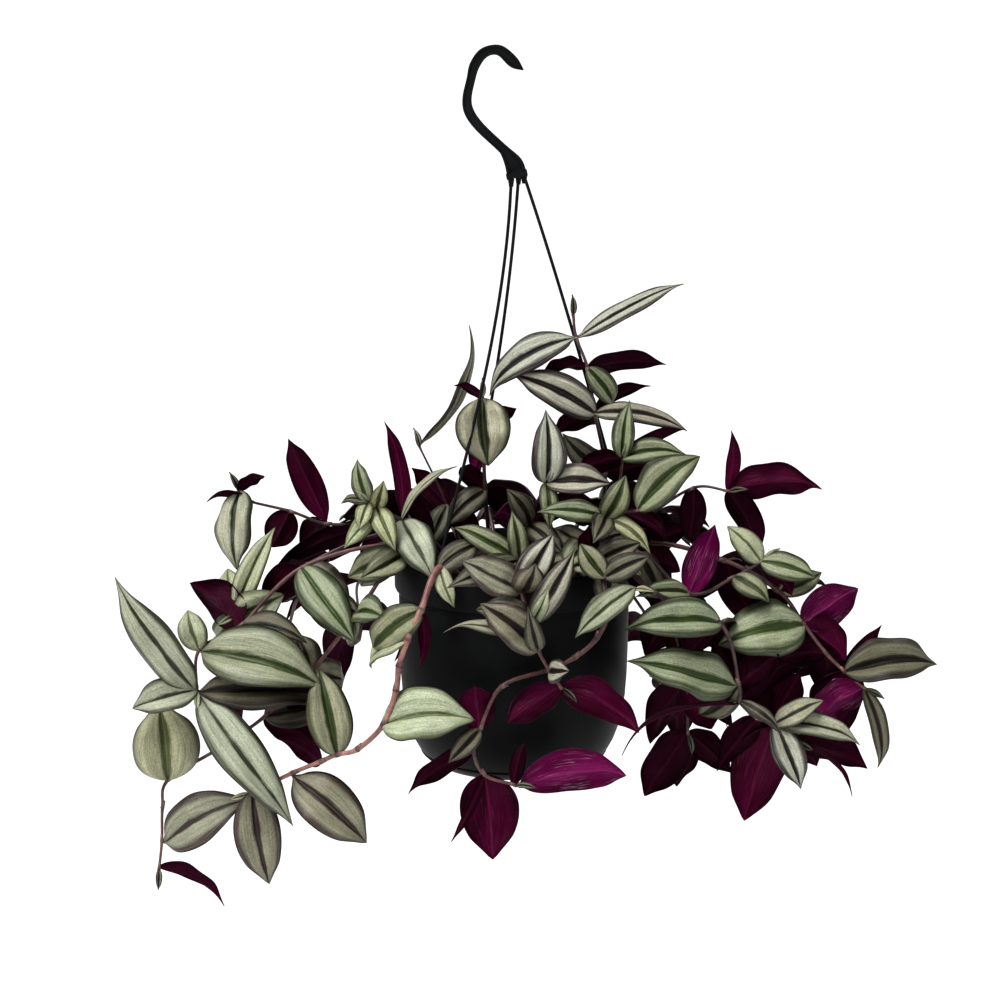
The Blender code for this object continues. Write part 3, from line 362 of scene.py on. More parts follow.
stemLooks = {
    "pink": {"high": (0.34, 0.18, 0.145), "low": (0.15, 0.060, 0.058)},
    "russet": {"high": (0.15, 0.070, 0.062), "low": (0.050, 0.018, 0.022)},
    "dark": {"high": (0.075, 0.032, 0.036), "low": (0.022, 0.008, 0.014)},
    "sheath": {"high": (0.17, 0.115, 0.085), "low": (0.065, 0.024, 0.034)},
}


def stemSkin(name, look):
    made, tree, shader = newMaterial(name)
    coords = objectCoords(tree)
    blots = grain(tree, coords, 90.0, 4.0, 0.6)
    fibres = grain(tree, coords, 900.0, 2.0, 0.6)
    speckle = scaled(tree, blots, 0.8, scaled(tree, fibres, 0.2))
    wire(tree, shader.inputs["Base Color"], ramp(tree, speckle, [(0.38, look["low"]), (0.62, look["high"])]))
    wire(tree, shader.inputs["Roughness"], scaled(tree, fibres, 0.25, 0.32))
    bump(tree, shader, scaled(tree, fibres, 0.4, blots), 0.4, 0.0005)
    return made


plasticLooks = {
    "potPlastic": {"colour": (0.0044, 0.0047, 0.0051), "roughness": 0.42, "grain": 1500.0, "bump": 0.22},
    "hangerPlastic": {"colour": (0.0058, 0.0062, 0.0068), "roughness": 0.38, "grain": 1200.0, "bump": 0.18},
}


def plasticSkin(name, look):
    made, tree, shader = newMaterial(name)
    coords = objectCoords(tree)
    dust = grain(tree, coords, 24.0, 5.0, 0.6, (1, 1, 0.45))
    dusty = tuple(channel * 1.9 + 0.003 for channel in look["colour"])
    shader.inputs["Specular IOR Level"].default_value = 0.10
    wire(tree, shader.inputs["Base Color"], ramp(tree, dust, [(0.40, look["colour"]), (0.78, dusty)]))
    wire(tree, shader.inputs["Roughness"], scaled(tree, dust, 0.2, look["roughness"]))
    bump(tree, shader, grain(tree, coords, look["grain"], 2.0, 0.6), look["bump"], 0.0003)
    return made


soilLooks = {
    "pottingSoil": {"low": (0.008, 0.005, 0.0035), "high": (0.040, 0.026, 0.017), "roughness": 0.95},
    "barkChips": {"low": (0.018, 0.010, 0.006), "high": (0.085, 0.050, 0.028), "roughness": 0.85},
    "perliteGrains": {"low": (0.45, 0.44, 0.41), "high": (0.70, 0.69, 0.66), "roughness": 0.9},
}


def soilSkin(name, look):
    made, tree, shader = newMaterial(name)
    crumbs = grain(tree, objectCoords(tree), 320.0, 6.0, 0.7)
    wire(tree, shader.inputs["Base Color"], ramp(tree, crumbs, [(0.35, look["low"]), (0.7, look["high"])]))
    shader.inputs["Roughness"].default_value = look["roughness"]
    bump(tree, shader, crumbs, 0.8, 0.002)
    return made


skins = {}


def makeSkins():
    for name, look in leafLooks.items():
        skins[name + "Face"] = faceSkin(name + "LeafFace", look)
    for name, look in backLooks.items():
        skins[name + "Back"] = backSkin(name + "LeafBack", look)
    for name, look in stemLooks.items():
        skins[name + "Stem"] = stemSkin(name + "StemSkin", look)
    for name, look in plasticLooks.items():
        skins[name] = plasticSkin(name, look)
    for name, look in soilLooks.items():
        skins[name] = soilSkin(name, look)


def finished(name, shape, materials, slot, *nodes, recalculate=True):
    if recalculate:
        bmesh.ops.recalc_face_normals(shape, faces=shape.faces)
    mesh = bpy.data.meshes.new(name)
    shape.to_mesh(mesh)
    shape.free()
    mesh.shade_smooth()
    piece = bpy.data.objects.new(name, mesh)
    for material in materials:
        mesh.materials.append(material)
    bpy.context.collection.objects.link(piece)
    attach(piece, "root")
    if nodes:
        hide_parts(*nodes)
    return piece


def softEdges(piece, width, segments=3, angle=30):
    piece.data.set_sharp_from_angle(angle=math.radians(60))
    bevel = piece.modifiers.new("softEdges", "BEVEL")
    bevel.width = width
    bevel.segments = segments
    bevel.limit_method = "ANGLE"
    bevel.angle_limit = math.radians(angle)
    bevel.profile = 0.5
    bevel.material = -1


def turned(shape, outline, steps):
    points = [shape.verts.new(place(r, 0, z)) for r, z in outline]
    lines = [shape.edges.new(pair) for pair in zip(points, points[1:])]
    bmesh.ops.spin(shape, geom=points + lines, cent=rim, axis=(0, 0, 1), angle=math.tau, steps=steps,
                   use_merge=True)
    bmesh.ops.remove_doubles(shape, verts=shape.verts, dist=weld)


def box(shape, size, turn, axis, spot):
    corners = bmesh.ops.create_cube(shape, size=cm)["verts"]
    bmesh.ops.scale(shape, verts=corners, vec=size)
    bmesh.ops.rotate(shape, verts=corners, cent=(0, 0, 0), matrix=Matrix.Rotation(turn, 3, axis))
    bmesh.ops.translate(shape, verts=corners, vec=place(*spot))


def through(points, steps):
    ends = [2 * points[0] - points[1]] + points + [2 * points[-1] - points[-2]]
    found = []
    for a, b, c, d in zip(ends, ends[1:], ends[2:], ends[3:]):
        for step in range(steps):
            t = step / steps
            found.append(0.5 * (2 * b + (c - a) * t + (2 * a - 5 * b + 4 * c - d) * t**2
                                + (3 * b - a - 3 * c + d) * t**3))
    return found + [points[-1]]


def tube(shape, points, radii):
    curve = bpy.data.curves.new("guide", "CURVE")
    curve.dimensions = "3D"
    curve.bevel_depth = 1.0
    curve.bevel_resolution = 4
    curve.use_fill_caps = True
    spline = curve.splines.new("POLY")
    spline.points.add(len(points) - 1)
    for knot, point, radius in zip(spline.points, points, radii):
        knot.co = (*point, 1)
        knot.radius = radius
    guide = bpy.data.objects.new("guide", curve)
    bpy.context.collection.objects.link(guide)
    mesh = bpy.data.meshes.new_from_object(guide.evaluated_get(bpy.context.evaluated_depsgraph_get()))
    bpy.data.objects.remove(guide, do_unlink=True)
    part = bmesh.new()
    part.from_mesh(mesh)
    bmesh.ops.remove_doubles(part, verts=part.verts, dist=weld)
    bmesh.ops.recalc_face_normals(part, faces=part.faces)
    part.to_mesh(mesh)
    part.free()
    shape.from_mesh(mesh)
    bpy.data.meshes.remove(mesh)


# Outlines run from the axis outwards and back, as (radius, height) in centimetres from the rim.
potLook = {
    "turnSteps": 144, "sharpAngle": 35,
    "outline": [
        (0, -13.05), (4.65, -13.05), (5.0, -12.98), (5.38, -12.78), (5.64, -12.55), (5.93, -12.52),
        (6.08, -12.3), (6.38, -11.75), (6.65, -11.0), (6.87, -10.1), (7.05, -9.0), (7.15, -7.6),
        (7.2, -6.0), (7.24, -2.6), (7.17, -2.35), (7.17, -2.15), (7.46, -2.05), (7.5, -1.94),
        (7.5, -0.15), (7.47, -0.05), (7.4, 0), (7.22, 0), (7.15, -0.04), (7.08, -0.2), (7.0, -6.0),
        (6.85, -8.9), (6.45, -10.7), (5.85, -11.95), (5.3, -12.4), (4.65, -12.75), (0, -12.75),
    ],
    "saucer": [
        (0, -13.32), (4.75, -13.32), (5.2, -13.2), (5.45, -13.08), (5.65, -12.93), (5.88, -12.7),
        (5.93, -12.62), (5.88, -12.57), (5.8, -12.57), (5.74, -12.6), (5.45, -12.86), (5.05, -13.06),
        (4.7, -13.12), (0, -13.12),
    ],
}


def addTurned(name, outline, slot, node):
    shape = bmesh.new()
    turned(shape, outline, potLook["turnSteps"])
    piece = finished(name, shape, [skins["potPlastic"]], slot, node)
    piece.data.set_sharp_from_angle(angle=math.radians(potLook["sharpAngle"]))


def addPot():
    addTurned("potBody", potLook["outline"], "pot_plastic", "pot")
    addTurned("dripSaucer", potLook["saucer"], "saucer_plastic", "drip_saucer")
    print("pot and saucer made")


soilLook = {
    "radius": 6.96, "top": -1.3, "depth": 2.2, "rings": 26, "turnSteps": 96, "mound": 0.28,
    "bumps": ((1.3, 0.16), (4.1, 0.09)), "bed": 0.08, "edge": 0.3, "knock": 0.35,
    "chips": 260, "chipSize": (0.12, 0.34), "grains": 70, "grainSize": (0.10, 0.2),
}


def soilHeight(x, y):
    spot = Vector((x, y, 0))
    height = soilLook["top"] + soilLook["mound"] * (1 - (x * x + y * y) / soilLook["radius"]**2)
    for often, tall in soilLook["bumps"]:
        height += tall * noise.noise(spot * often)
    return height


def addSoil():
    rng = random.Random(5)
    radius, top, rings = soilLook["radius"], soilLook["top"], soilLook["rings"]
    outline = [(radius * step / rings, top) for step in range(rings + 1)]
    outline += [(radius, top - soilLook["depth"]), (0, top - soilLook["depth"])]
    shape = bmesh.new()
    turned(shape, outline, soilLook["turnSteps"])
    for vert in shape.verts:
        spot = (vert.co - rim) / cm
        if spot.z > top - 0.01:
            vert.co = place(spot.x, spot.y, soilHeight(spot.x, spot.y) - soilLook["bed"])
    bmesh.ops.recalc_face_normals(shape, faces=shape.faces)
    for index in range(soilLook["chips"] + soilLook["grains"]):
        turn = rng.uniform(0, math.tau)
        far = (radius - soilLook["edge"]) * math.sqrt(rng.random())
        x, y = far * math.cos(turn), far * math.sin(turn)
        bark = index < soilLook["chips"]
        size = rng.uniform(*soilLook["chipSize" if bark else "grainSize"])
        flat = (1, rng.uniform(0.4, 0.8), rng.uniform(0.25, 0.5)) if bark else (1, 0.9, 0.8)
        chip = bmesh.ops.create_icosphere(shape, subdivisions=1, radius=size * cm)["verts"]
        bmesh.ops.scale(shape, verts=chip, vec=flat)
        spin = Matrix.Rotation(rng.uniform(0, math.tau), 3, "Z")
        spin = spin @ Matrix.Rotation(rng.uniform(-0.6, 0.6), 3, "X")
        for vert in chip:
            knock = 1 + soilLook["knock"] * noise.noise(vert.co * 900 + Vector((index, 0, 0)))
            vert.co = place(x, y, soilHeight(x, y)) + spin @ (vert.co * knock)
        for face in {face for vert in chip for face in vert.link_faces}:
            face.material_index = 1 if bark else 2
    soils = [skins["pottingSoil"], skins["barkChips"], skins["perliteGrains"]]
    finished("pottingSoil", shape, soils, "potting_soil", "soil", recalculate=False)
    print("soil made")


# The hook's line holds (x, height over the rim less 30.85, half width), in centimetres.
hookLook = {
    "line": [
        (1.9, -0.89, 0.03), (1.33, -0.46, 0.33), (0.6, 0.2, 0.32), (0.0, 0.3, 0.29), (-0.6, 0.03, 0.31),
        (-1.06, -0.65, 0.31), (-1.26, -1.4, 0.27), (-1.51, -2.6, 0.28), (-1.36, -3.45, 0.3),
        (-0.73, -4.32, 0.29), (0.4, -5.38, 0.28), (0.8, -5.78, 0.32), (1.3, -6.5, 0.55), (1.5, -7.08, 0.6),
    ],
    "steps": 6, "depth": 0.55, "strips": (-1, -0.66, 0.66, 1), "ribEdge": 0.04, "recess": 0.10,
    "foot": (1.3, 1.1, 0.3), "footCentre": (0.15, 0.0, 23.67), "footTilt": math.radians(-12),
    "softness": 0.0006,
}


def addHook():
    line = through([Vector(row) for row in hookLook["line"]], hookLook["steps"])
    strips = hookLook["strips"]
    rows, columns = len(line) - 1, len(strips) - 1
    shape = bmesh.new()
    bmesh.ops.create_grid(shape, x_segments=rows, y_segments=columns, size=1)
    for vert in shape.verts:
        index = round((vert.co.x + 1) / 2 * rows)
        row, before, after = line[index], line[max(index - 1, 0)], line[min(index + 1, rows)]
        way = Vector((after.x - before.x, after.y - before.y)).normalized()
        out = strips[round((vert.co.y + 1) / 2 * columns)] * row.z
        vert.co = Vector((row.x - way.y * out, -hookLook["depth"] / 2, row.y + way.x * out)) * cm
    grown = bmesh.ops.extrude_face_region(shape, geom=list(shape.faces), use_keep_orig=True)["geom"]
    moved = [item for item in grown if isinstance(item, bmesh.types.BMVert)]
    bmesh.ops.translate(shape, verts=moved, vec=(0, hookLook["depth"] * cm, 0))
    bmesh.ops.recalc_face_normals(shape, faces=shape.faces)
    channel = []
    for face in shape.faces:  # the middle strip of either side is sunk between its two ribs
        beside = {other for edge in face.edges for other in edge.link_faces}
        if all(abs(other.normal.y) > 0.9 for other in beside):
            channel.append(face)
    bmesh.ops.inset_region(shape, faces=channel, thickness=hookLook["ribEdge"] * cm,
                           depth=-hookLook["recess"] * cm)
    box(shape, hookLook["foot"], hookLook["footTilt"], "Y", hookLook["footCentre"])
    hook = finished("hangerHook", shape, [skins["hangerPlastic"]], "hanger_plastic", "hanger_hook",
                    recalculate=False)
    softEdges(hook, hookLook["softness"])
    print("hook made")


# Each strand has its heading round the axis, its top beside the foot's centre and its bow inwards.
strandLook = {
    "strands": {"strand_front_left": (-38, (-0.2, -0.3), 1.5), "strand_back_left": (-158, (0.25, 0.3), 1.1),
                "strand_right": (97, (0.6, 0.2), -0.25)},
    "radius": 0.1, "steps": 36, "gap": 0.03, "tail": 1.1, "softness": 0.0004,
    "collar": (0.13, 0.2, 0.5), "collarDrop": 0.19, "clip": (0.5, 0.2, 1.1), "lip": (0.5, 0.62, 0.14),
}


def addStrand(node, azimuth, start, bow):
    angle = math.radians(azimuth)
    out = Vector((math.sin(angle), -math.cos(angle), 0))
    foot, tilt = Vector(hookLook["footCentre"]), hookLook["footTilt"]
    drop = hookLook["foot"][2] / 2 / math.cos(tilt) + 2 * strandLook["gap"]
    top = Vector((*start, foot.z - drop - (start[0] - foot.x) * math.tan(tilt)))
    edge = out * (potRadius + strandLook["radius"] + strandLook["gap"])
    route = []
    for step in range(strandLook["steps"] + 1):
        share = step / strandLook["steps"]
        route.append(top.lerp(edge, share) - out * bow * 4 * share * (1 - share)**1.5)
    route.append(edge - Vector((0, 0, strandLook["tail"])))
    shape = bmesh.new()
    tube(shape, [place(*point) for point in route], [strandLook["radius"] * cm] * len(route))
    low, high, tall = (size * cm for size in strandLook["collar"])
    collar = bmesh.ops.create_cone(shape, cap_ends=True, segments=20, radius1=low, radius2=high, depth=tall)
    bmesh.ops.translate(shape, verts=collar["verts"],
                        vec=place(*(top - Vector((0, 0, strandLook["collarDrop"])))))
    clip, lip = strandLook["clip"], strandLook["lip"]
    box(shape, clip, angle, "Z", edge + Vector((0, 0, 0.12 - clip[2] / 2)))
    box(shape, lip, angle, "Z", edge - out * 0.2 + Vector((0, 0, 0.13)))
    strand = finished(node.replace("strand", "hangerStrand"), shape, [skins["hangerPlastic"]],
                      "hanger_plastic", node, recalculate=False)
    softEdges(strand, strandLook["softness"], 2, 50)


# Stems and leaves, in centimetres from the centre of the rim. Each vine has its stem's radius, its
# route of nodes and its leaves. A leaf has the node that it grows from, its tip, its full width, the
# way its upper face looks and its colouring.
vines = {}
vines["stem_left_long"] = (0.16, [
    (-3.0, -1.0, -1.0), (-7.4, -2.0, 1.0), (-13.1, -3.0, -0.2), (-16.9, -4.0, -3.7), (-19.3, -5.0, -4.9),
    (-19.4, -6.0, -7.3),
], [
    (5, (-24.1, -7.0, 0.0), 2.6, (-0.3, -1, 0.4), "silver"),
    (5, (-22.9, -8.0, -7.0), 2.2, (0.1, -0.8, 0.6), "silver"),
    (5, (-13.3, -8.5, -14.9), 3.0, (0.4, -1, 0.3), "silver"),
    (4, (-11.7, -7.0, -6.4), 4.1, (0.1, -0.8, 0.7), "sage"),
    (5, (-10.6, -4.0, -8.3), 3.1, (0.1, -0.7, 0.7), "olive"),
    (4, (-20.1, -4.0, -2.6), 1.8, (0, -1, 0.2), "pale"),
    (3, (-20.1, -2.0, -1.4), 3.0, (0.3, 1, 0.1), "plum"),
    (3, (-13.0, -6.0, -4.0), 2.2, (0.1, -0.6, 0.8), "olive"),
    (2, (-9.0, -5.5, -3.8), 2.7, (0.1, -0.8, 0.5), "green"),
    (2, (-10.8, -3.5, -4.6), 1.9, (0.2, -0.8, 0.3), "green"),
    (1, (-9.6, -2.2, -1.6), 2.2, (0, -0.9, 0.4), "sage"),
    (2, (-15.6, -1.8, -2.8), 2.2, (0, 1, 0.2), "plum"),
])
vines["stem_left_short"] = (0.15, [
    (-3.6, 0.6, -1.0), (-7.5, -0.3, 1.4), (-12.9, -1.3, -0.4), (-17.3, -2.5, -3.4),
], [
    (3, (-16.0, -3.5, 2.5), 1.7, (-0.2, -1, 0), "pale"),
    (3, (-18.4, -3.0, -0.5), 2.0, (0, -1, 0.1), "pale"),
    (3, (-15.0, -2.5, -0.8), 2.4, (0.1, -1, 0.2), "pale"),
    (2, (-11.0, -0.6, -3.0), 2.1, (0.1, -1, 0.2), "olive"),
    (2, (-14.6, 0.4, -3.2), 2.0, (0, 1, 0.1), "plum"),
    (1, (-9.6, 0.6, -1.2), 2.0, (0, 1, 0.2), "plum"),
    (3, (-15.2, -2.2, -5.6), 2.0, (0.1, -0.9, 0.4), "olive"),
    (3, (-19.0, -1.6, -5.6), 1.7, (-0.1, -1, 0.1), "green"),
    (3, (-13.8, -2.0, -3.8), 1.9, (0.1, -0.9, 0.3), "sage"),
    (2, (-12.0, -2.6, -4.0), 2.0, (0.1, -1, 0.2), "olive"),
])
vines["stem_low_left"] = (0.15, [
    (-4.0, -2.4, -1.0), (-6.8, -4.2, 0.9), (-9.6, -5.0, -2.6), (-12.6, -4.2, -6.6), (-15.5, -3.5, -9.6),
    (-18.5, -4.0, -11.6), (-21.5, -4.5, -13.4), (-21.9, -4.5, -15.2), (-22.0, -4.5, -17.4),
    (-22.2, -4.7, -19.2),
], [
    (6, (-21.9, -4.6, -8.3), 4.2, (0, -1, 0.1), "pale"),
    (8, (-16.6, -5.8, -14.2), 3.3, (0, -0.9, 0.5), "dusk"),
    (9, (-17.9, -6.0, -21.0), 1.6, (0, 0.8, 0.5), "plum"),
    (2, (-8.3, -7.0, -3.0), 2.2, (0, -0.8, 0.6), "green"),
    (3, (-13.9, -6.0, -8.4), 2.2, (-0.2, 0.9, 0.2), "plum"),
    (4, (-12.0, -3.0, -11.6), 2.2, (0.1, 0.9, 0.2), "plum"),
    (1, (-10.2, -4.6, -0.4), 2.2, (0, -0.9, 0.5), "green"),
    (1, (-9.4, -6.2, -0.2), 1.8, (0.1, -0.9, 0.4), "sage"),
    (2, (-12.0, -5.4, -1.6), 1.8, (0, -0.9, 0.4), "olive"),
    (4, (-11.2, -2.4, -8.8), 2.5, (0.1, -0.9, 0.4), "olive"),
    (3, (-14.0, -3.0, -4.4), 2.2, (0.1, -0.9, 0.3), "olive"),
    (3, (-10.2, -2.6, -7.6), 2.3, (0.1, -0.9, 0.3), "dusk"),
    (2, (-11.4, -4.0, -4.6), 1.9, (0.1, -0.9, 0.4), "dusk"),
    (3, (-10.9, -3.2, -5.6), 1.9, (0, 1, 0.2), "plum"),
])
vines["stem_front_left"] = (0.22, [
    (-2.5, -4.2, -1.0), (-4.5, -6.8, 0.7), (-5.6, -8.5, -1.5), (-6.4, -9.0, -3.2), (-6.9, -9.0, -4.8),
    (-7.1, -9.0, -6.3), (-7.9, -8.5, -8.6), (-9.5, -8.0, -10.3), (-10.8, -7.5, -10.8), (-11.8, -7.0, -11.4),
    (-13.6, -6.5, -12.3), (-16.3, -6.0, -13.8),
], [
    (6, (-2.5, -9.6, -7.8), 3.4, (0.1, -0.8, 0.6), "pale"),
    (8, (-11.9, -6.0, -5.8), 2.8, (0.2, -1, 0.1), "sage"),
    (10, (-9.0, -7.6, -16.4), 3.4, (0.3, -0.9, 0.2), "dusk"),
    (11, (-15.1, -7.0, -19.4), 2.9, (0.1, -1, 0.1), "dusk"),
    (9, (-14.4, -5.0, -10.4), 1.8, (0, 0.9, 0.2), "plum"),
    (2, (-5.6, -8.6, -5.0), 0.9, (0.3, 0.9, 0), "wine"),
    (2, (-8.7, -7.6, -4.2), 2.4, (0, -0.8, 0.5), "green"),
    (3, (-9.8, -7.2, -4.9), 1.6, (0, -0.7, 0.7), "pale"),
    (1, (-2.0, -5.6, 2.0), 1.7, (0, -0.9, 0.5), "olive"),
    (1, (-3.6, -7.9, -1.5), 1.2, (0, -1, 0.2), "pale"),
])
vines["stem_upper_left"] = (0.13, [
    (-4.4, 1.6, -1.0), (-7.1, 1.2, 1.6), (-9.6, 1.0, 1.7), (-11.9, 1.0, 1.7), (-14.1, 1.0, 2.5),
    (-16.8, 1.0, 3.2), (-17.3, 1.0, 3.9),
], [
    (3, (-14.1, 0.0, 7.4), 1.9, (-0.3, 1, 0.1), "wine"),
    (4, (-15.2, -0.2, 0.4), 2.1, (0, 1, 0), "plum"),
    (2, (-15.5, -0.4, -0.7), 1.5, (0, 1, 0.3), "plum"),
    (5, (-19.2, 0.0, 3.5), 1.3, (0, 0.3, 1), "plum"),
    (6, (-15.6, 0.3, 5.0), 1.4, (0, 0.4, 1), "plum"),
    (6, (-17.3, -1.5, -0.7), 2.6, (-0.3, -1, 0.2), "silver"),
    (2, (-11.6, 0.8, -0.9), 1.9, (0, 1, 0.2), "plum"),
    (1, (-9.2, 2.2, -0.4), 1.9, (0, 1, 0.3), "plum"),
    (3, (-13.6, 2.0, -0.2), 1.9, (0, 1, 0.3), "plum"),
])
vines["stem_young_left"] = (0.15, [
    (-3.0, -1.8, -1.0), (-5.2, -2.6, 1.6), (-6.9, -3.0, 2.8), (-8.4, -4.0, 3.8), (-9.0, -4.5, 4.3),
], [
    (2, (-4.9, -6.4, 0.1), 2.5, (0.2, -1, 0.4), "silver"),
    (4, (-9.6, -4.0, 6.8), 1.3, (-0.2, -1, 0), "green"),
    (4, (-10.6, -4.0, 4.2), 0.9, (0, -0.5, 0.8), "olive"),
    (2, (-7.9, -2.0, 8.8), 1.2, (0.5, 1, 0), "wine"),
    (3, (-10.4, -5.0, 1.5), 1.3, (0, -0.8, 0.4), "young"),
    (3, (-7.6, -5.6, 1.2), 1.5, (0, -0.8, 0.5), "young"),
    (4, (-9.9, -5.2, 3.0), 1.1, (0, -0.6, 0.7), "young"),
    (3, (-7.9, -4.9, 5.6), 1.1, (0.2, -0.8, 0.3), "young"),
    (2, (-3.6, -3.2, 6.3), 1.2, (-0.6, -0.4, 0.8), "silver"),
    (1, (-6.6, -1.8, 4.6), 1.2, (0, 1, 0), "plum"),
])
vines["stem_tall_left"] = (0.1, [
    (-3.0, 0.6, -1.0), (-4.2, 0.5, 3.0), (-5.9, 0.2, 6.8),
], [
    (2, (-2.3, 0.0, 14.2), 1.9, (0.9, -0.35, -0.4), "silver"),
    (1, (-6.4, 1.5, 5.2), 1.6, (0, 1, 0.2), "plum"),
    (1, (-2.1, 1.5, 0.3), 1.8, (0, 1, 0.3), "plum"),
    (1, (-5.5, -0.6, 0.4), 1.6, (0, -1, 0.3), "olive"),
])
vines["stem_crown_left"] = (0.15, [
    (-1.4, 0.2, -1.0), (-1.8, -0.8, 4.2), (-1.9, -1.6, 8.0), (-2.0, -2.0, 10.3),
], [
    (3, (-1.6, -4.0, 6.6), 3.4, (0, -1, 0.3), "silver"),
    (3, (-3.4, -1.0, 11.1), 1.0, (0, 0.8, 0.6), "plum"),
    (1, (-3.4, -2.2, 6.1), 1.3, (0, 1, 0.2), "plum"),
    (2, (0.1, -1.6, 9.6), 1.4, (0, 0.8, 0.5), "plum"),
    (1, (0.6, 0.6, 1.9), 1.8, (0, 1, 0.4), "plum"),
    (1, (-4.2, -2.2, 2.3), 1.7, (0, -1, 0.5), "olive"),
    (2, (-2.6, -0.4, 5.0), 1.5, (0, 1, 0.2), "magenta"),
])
vines["stem_crown_front"] = (0.15, [
    (0.6, -2.2, -1.0), (0.9, -3.0, 2.5), (2.0, -4.0, 5.5),
], [
    (2, (1.9, -4.6, 9.9), 2.2, (0.1, -1, 0), "brown"),
    (2, (5.7, -5.0, 5.8), 2.1, (0, -0.8, 0.6), "brown"),
    (2, (2.1, -5.2, 2.7), 1.2, (0, -1, 0.2), "green"),
    (1, (-0.3, -4.6, 5.0), 1.7, (0.2, -0.9, 0.4), "olive"),
    (1, (-0.8, -5.2, 3.6), 2.2, (0.2, 0.9, 0.2), "magenta"),
    (1, (3.9, -1.6, 3.6), 1.7, (0, 1, 0.3), "plum"),
    (1, (3.0, -5.2, 1.2), 1.6, (0, -0.9, 0.5), "olive"),
])
vines["stem_climbing"] = (0.14, [
    (3.0, 1.5, -1.0), (5.2, 0.6, 2.3), (5.7, 0.0, 5.2), (5.0, -0.5, 9.0), (4.5, -0.7, 11.9),
    (3.8, -0.8, 13.8), (3.6, -0.8, 15.2),
], [
    (5, (10.4, 0.0, 17.1), 1.4, (-0.3, -0.8, 0.6), "brown"),
    (5, (-1.8, -0.6, 10.4), 2.3, (-0.3, -0.8, 0.7), "brown"),
    (3, (0.0, -1.8, 11.8), 2.4, (-0.1, -1, 0.4), "brown"),
    (3, (10.8, -0.2, 7.9), 1.7, (0.1, -0.7, 0.7), "brown"),
    (4, (9.4, 0.8, 12.0), 1.9, (0, 0.8, 0.5), "plum"),
    (4, (1.6, -0.6, 11.6), 1.2, (0, 0.7, 0.6), "plum"),
    (4, (6.4, 0.2, 9.2), 1.6, (0.1, -1, 0.2), "green"),
    (3, (8.7, 1.2, 10.3), 1.4, (0, 0.8, 0.5), "plum"),
    (2, (9.0, 2.4, 5.4), 2.0, (0.2, 0.9, 0.4), "plum"),
    (1, (7.6, 3.8, 4.0), 2.2, (0.2, 0.8, 0.6), "green"),
    (1, (2.4, 2.8, 3.0), 2.0, (0, 1, 0.4), "plum"),
    (2, (3.2, 1.8, 6.3), 2.0, (0, 1, 0.2), "plum"),
    (2, (3.0, 0.2, 7.6), 1.7, (-0.2, -1, 0.2), "olive"),
    (3, (2.4, 2.2, 7.2), 1.8, (0, 1, 0.3), "plum"),
    (1, (3.4, -0.2, 2.8), 1.7, (0, 1, 0.2), "plum"),
])
vines["stem_crown_right"] = (0.15, [
    (3.0, -2.6, -1.0), (4.3, -4.0, 1.4), (5.5, -5.0, 3.4), (7.6, -5.5, 4.0),
], [
    (2, (1.4, -6.2, 4.1), 1.5, (0, -0.8, 0.6), "green"),
    (2, (6.3, -5.6, 6.2), 1.7, (0, -1, 0), "green"),
    (3, (11.1, -5.0, 7.3), 2.6, (-0.2, -0.8, 0.5), "green"),
    (2, (8.6, -6.8, 3.2), 1.3, (0, -0.7, 0.7), "young"),
    (1, (6.4, -4.2, 0.9), 2.2, (0.2, 0.8, 0.4), "plum"),
    (1, (3.2, -7.6, 0.2), 2.0, (0, -0.9, 0.5), "sage"),
    (2, (3.8, -6.6, 1.1), 1.6, (0, -0.9, 0.5), "olive"),
    (1, (2.8, -4.8, 2.8), 1.7, (0, -0.8, 0.5), "dusk"),
    (1, (6.7, -5.4, 2.0), 2.0, (0, -0.9, 0.4), "brown"),
])
vines["stem_high_right"] = (0.13, [
    (4.6, -0.6, -1.0), (6.2, -1.2, 3.0), (6.7, -2.0, 6.6),
], [
    (2, (10.5, -3.2, 7.0), 1.7, (0, -0.8, 0.6), "green"),
    (2, (10.4, -1.9, 8.4), 1.2, (0, 0.8, 0.6), "plum"),
    (1, (9.6, -2.6, 4.6), 2.2, (0, 0.8, 0.6), "plum"),
    (1, (9.4, -3.8, 1.8), 2.4, (0, 0.9, 0.4), "plum"),
    (1, (3.6, -2.4, 2.6), 1.8, (0, 1, 0.3), "plum"),
    (2, (3.8, -1.2, 5.4), 1.7, (0, 1, 0.4), "plum"),
    (2, (8.6, -0.6, 9.2), 1.5, (0, -0.9, 0.4), "green"),
    (1, (4.3, -3.0, 2.6), 1.6, (0, 1, 0.2), "plum"),
])
vines["stem_upper_right"] = (0.13, [
    (4.4, 1.4, -1.0), (8.3, 1.2, 2.0), (11.2, 0.0, 4.2), (13.4, -1.0, 4.2),
], [
    (3, (19.0, -2.0, 4.8), 2.4, (0.1, 0.95, 0.35), "wine"),
    (3, (13.5, -1.0, 8.1), 1.0, (0.4, 0.9, 0), "wine"),
    (3, (15.4, -1.5, 0.3), 1.9, (0.3, 0.9, 0.2), "plum"),
    (2, (10.9, -1.4, 1.2), 1.7, (0.1, 1, 0.1), "plum"),
    (1, (12.5, 3.6, 1.4), 2.4, (0.4, 0.6, 0.7), "green"),
    (1, (10.2, 0.6, 0.4), 2.0, (0.1, 1, 0.3), "plum"),
])
